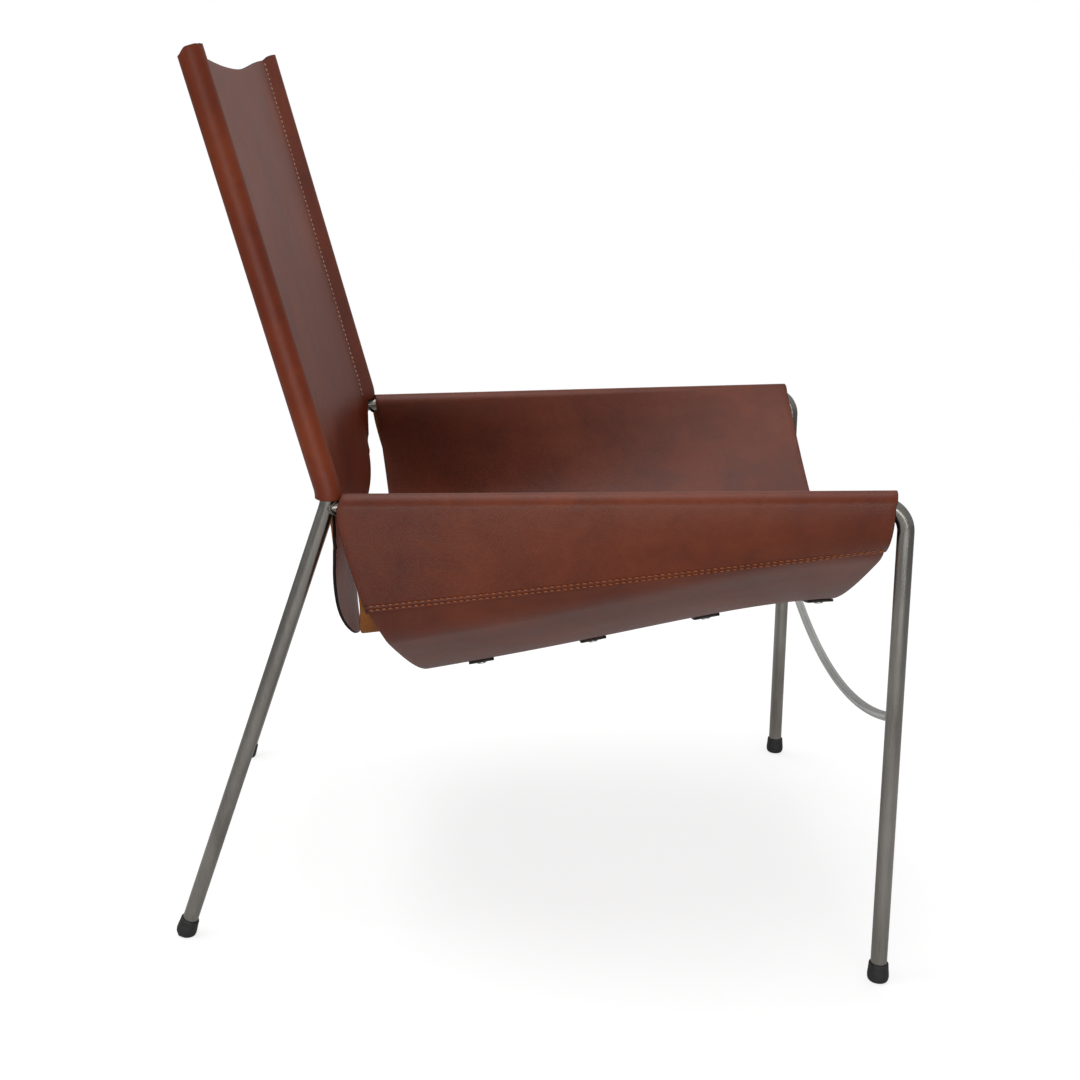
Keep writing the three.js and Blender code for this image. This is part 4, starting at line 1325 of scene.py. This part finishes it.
def stitch_row(name, node, finish, line, ups, side, outward, thread):
    """Copies of one stitch at even steps along a line, on the face of the leather that looks
    outward, joined as the row they make."""
    pattern = one_stitch(thread["length"], thread["radius"])
    slant = thread["slant"] * side
    copies = []
    for point, tangent, index in spaced(line, thread["pitch"], thread["margin"]):
        normal = ups[index].cross(tangent).normalized()
        if normal.dot(outward) < 0:
            normal = -normal
        sideways = normal.cross(tangent).normalized()
        ahead = (tangent * math.cos(slant) + sideways * math.sin(slant)).normalized()
        sideways = normal.cross(ahead).normalized()
        lift = ahead.cross(sideways).normalized()
        turn = Matrix((ahead, sideways, lift)).transposed().to_4x4()
        mesh = pattern.data.copy()
        mesh.transform(Matrix.Translation(placed(point + normal * thread["lift"])) @ turn)
        copy = bpy.data.objects.new(name, mesh)
        bpy.context.scene.collection.objects.link(copy)
        copies.append(copy)
    bpy.data.objects.remove(pattern)
    pick(copies[0])
    for copy in copies:
        copy.select_set(True)
    bpy.ops.object.join()
    finish_piece(smooth(bpy.context.active_object, 80), name, node, finish)


def spaced(line, pitch, margin):
    """Places every pitch along a line of points, as point, tangent and index."""
    runs = sheet_run(line)
    found = []
    index = 0
    first = math.floor(margin / pitch) + 1
    last = math.floor((runs[-1] - margin) / pitch)
    for step in range(first, last + 1):
        while runs[index + 1] < pitch * step:
            index += 1
        share = (pitch * step - runs[index]) / (runs[index + 1] - runs[index])
        found.append((line[index].lerp(line[index + 1], share),
                      (line[index + 1] - line[index]).normalized(), index))
    return found


def make_seam_stitches():
    for name, side in SIDES.items():
        for row_name, offset in SEAM_OFFSETS.items():
            line = []
            ups = []
            for step in range(SEAT_ROWS * 2 + 1):
                station = step / (SEAT_ROWS * 2)
                up = flap_place(station, 1 - EDGE_SHARE) - flap_place(station, 1)
                point = flap_place(station, 1 - EDGE_SHARE * offset / up.length)
                line.append(point if side > 0 else mirrored(point))
                ups.append(up if side > 0 else mirrored(up))
            stitch_row(f"seat_seam_stitches_{row_name}_{name}",
                       f"seam_stitching_{row_name}_{name}", orange_thread, line, ups, side,
                       Vector((side, 0, 0)), SEAM_STITCH)


def make_back_stitches(rows):
    for name, side in SIDES.items():
        line = []
        ups = []
        for row in rows[:SLEEVE_ROWS + 1]:
            cells = row if side > 0 else row[::-1]
            across = sheet_run(cells)
            target = across[STITCH_COLUMN] + BACK_THREAD_INBOARD
            column = next(c for c in range(STITCH_COLUMN, len(cells)) if across[c] >= target)
            share = (target - across[column - 1]) / (across[column] - across[column - 1])
            line.append(cells[column - 1].lerp(cells[column], share))
            ups.append((cells[column] - cells[column - 1]).normalized())
        stitch_row(f"back_sleeve_stitches_{name}", f"back_stitching_{name}",
                   tan_thread, line, ups, side, Vector((0, -1, 0)), BACK_STITCH)


# ------------ room and camera
FLOOR_GLOW = 0.74
FLOOR_MIRRORED = 0.25
FLOOR_FADE = (0.9, 2.4)
WORLD_LEVEL = 0.26
ROOM_MIRRORED = (0.52, 0.48)
ROOM_TURN = (-0.6, 0.4)
# Place, aim, size and power
LAMPS = {
    "overhead_softbox": ((0.1, 0.25, 2.6), (0, 0.1, 0.4), (2.2, 2.2), 30),
    "camera_side_strip": ((-2.6, -0.1, 0.42), (0, 0, 0.42), (2.4, 0.45), 22),
    "rear_softbox": ((-1.2, 2.4, 1.4), (0, 0.2, 0.6), (1.2, 1.6), 7),
}


def make_floor():
    deselect_all()
    bpy.ops.mesh.primitive_plane_add(size=60, location=(0, 0, 0))
    floor = bpy.context.active_object
    floor.name = "floor"
    finish = Finish("pale_floor")
    pale = finish.noise(3, 2, 0.5)
    colour = finish.shades(pale, [(0.3, (0.54, 0.54, 0.54)), (0.7, (0.57, 0.57, 0.57))])
    seen = finish.ray("Camera").most(finish.ray("Glossy") * FLOOR_MIRRORED)
    seen = seen.most(finish.ray("Transmission"))
    matt = finish.add("BsdfDiffuse", {"Color": colour})
    glow = finish.add("Emission", {"Color": (1, 1, 1), "Strength": seen * FLOOR_GLOW})
    near = finish.add("AddShader", {0: matt, 1: glow})
    far = finish.add("Emission", {"Color": (1, 1, 1), "Strength": seen})
    away = finish.add("VectorMath", {0: finish.place}, "Value", operation="LENGTH")
    both = finish.add("MixShader", {0: away.ramp(*FLOOR_FADE), 1: near, 2: far})
    finish.add("OutputMaterial", {"Surface": both})
    floor.data.materials.append(finish.material)


def soft_lamp(name, place, target, size, power):
    light = bpy.data.lights.new(name, "AREA")
    light.shape = "RECTANGLE"
    light.size, light.size_y = size
    light.energy = power
    lamp = bpy.data.objects.new(name, light)
    lamp.location = place
    lamp.rotation_euler = (Vector(target) - Vector(place)).to_track_quat("-Z", "Y").to_euler()
    bpy.context.scene.collection.objects.link(lamp)


def make_room():
    world = bpy.data.worlds.new("studio")
    bpy.context.scene.world = world
    world.use_nodes = True
    graph = Graph(world.node_tree)
    towards = graph.add("TexCoord", {}, "Generated")
    across = graph.add("SeparateXYZ", {0: towards}, "X")
    # The paper is seen white on all sides, and mirrored a little brighter from the camera's side
    mirrored_room = across.ramp(*ROOM_TURN, *ROOM_MIRRORED)
    level = graph.ray("Glossy").ramp(0, 1, WORLD_LEVEL, mirrored_room)
    level = graph.ray("Camera").ramp(0, 1, level, 1)
    level = graph.ray("Transmission").ramp(0, 1, level, 1)
    light = graph.add("Background", {"Color": (1, 1, 1), "Strength": level})
    graph.add("OutputWorld", {"Surface": light})
    for name, plan in LAMPS.items():
        soft_lamp(name, *plan)


# The camera stands at the photograph's point and looks a little down, with a small shift
CAMERA_POINT = (-1.8384, 0.4103, 0.8653)
CAMERA_TURN = 0.0379
CAMERA_TILT = 0.1826
CAMERA_ROLL = 0.0075
CAMERA_SENSOR = 36
CAMERA_LENS = 1.6707 / 1.08 * CAMERA_SENSOR
CAMERA_SHIFT = (0.12, -0.13)


def make_camera():
    ahead = Vector((math.cos(CAMERA_TURN) * math.cos(CAMERA_TILT),
                    math.sin(CAMERA_TURN) * math.cos(CAMERA_TILT), -math.sin(CAMERA_TILT)))
    level = Vector((math.sin(CAMERA_TURN), -math.cos(CAMERA_TURN), 0))
    up = level.cross(ahead)
    right = level * math.cos(CAMERA_ROLL) + up * math.sin(CAMERA_ROLL)
    up = up * math.cos(CAMERA_ROLL) - level * math.sin(CAMERA_ROLL)
    lens = bpy.data.cameras.new("camera")
    lens.lens = CAMERA_LENS
    lens.sensor_width = CAMERA_SENSOR
    lens.shift_x, lens.shift_y = CAMERA_SHIFT
    lens.clip_start = 0.05
    lens.clip_end = 200
    camera = bpy.data.objects.new("camera", lens)
    x, y, z = CAMERA_POINT
    turn = Matrix((right, up, -ahead)).transposed().to_4x4()
    camera.matrix_world = Matrix.Translation((x, y + FRONT_LINE, z)) @ turn
    bpy.context.scene.collection.objects.link(camera)
    bpy.context.scene.camera = camera


make_frame()
make_rail_beads()
make_rods()
make_feet_and_plugs()
hide_rows = back_rows()
back_hide, back_area = make_back_hide(hide_rows)
seat_hide, seat_area = make_seat_hide()
belly_hides = make_belly_panels()
make_straps()
make_posts()
make_seam_stitches()
make_back_stitches(hide_rows)

make_floor()
make_room()
make_camera()
bpy.context.scene.view_settings.view_transform = "Standard"
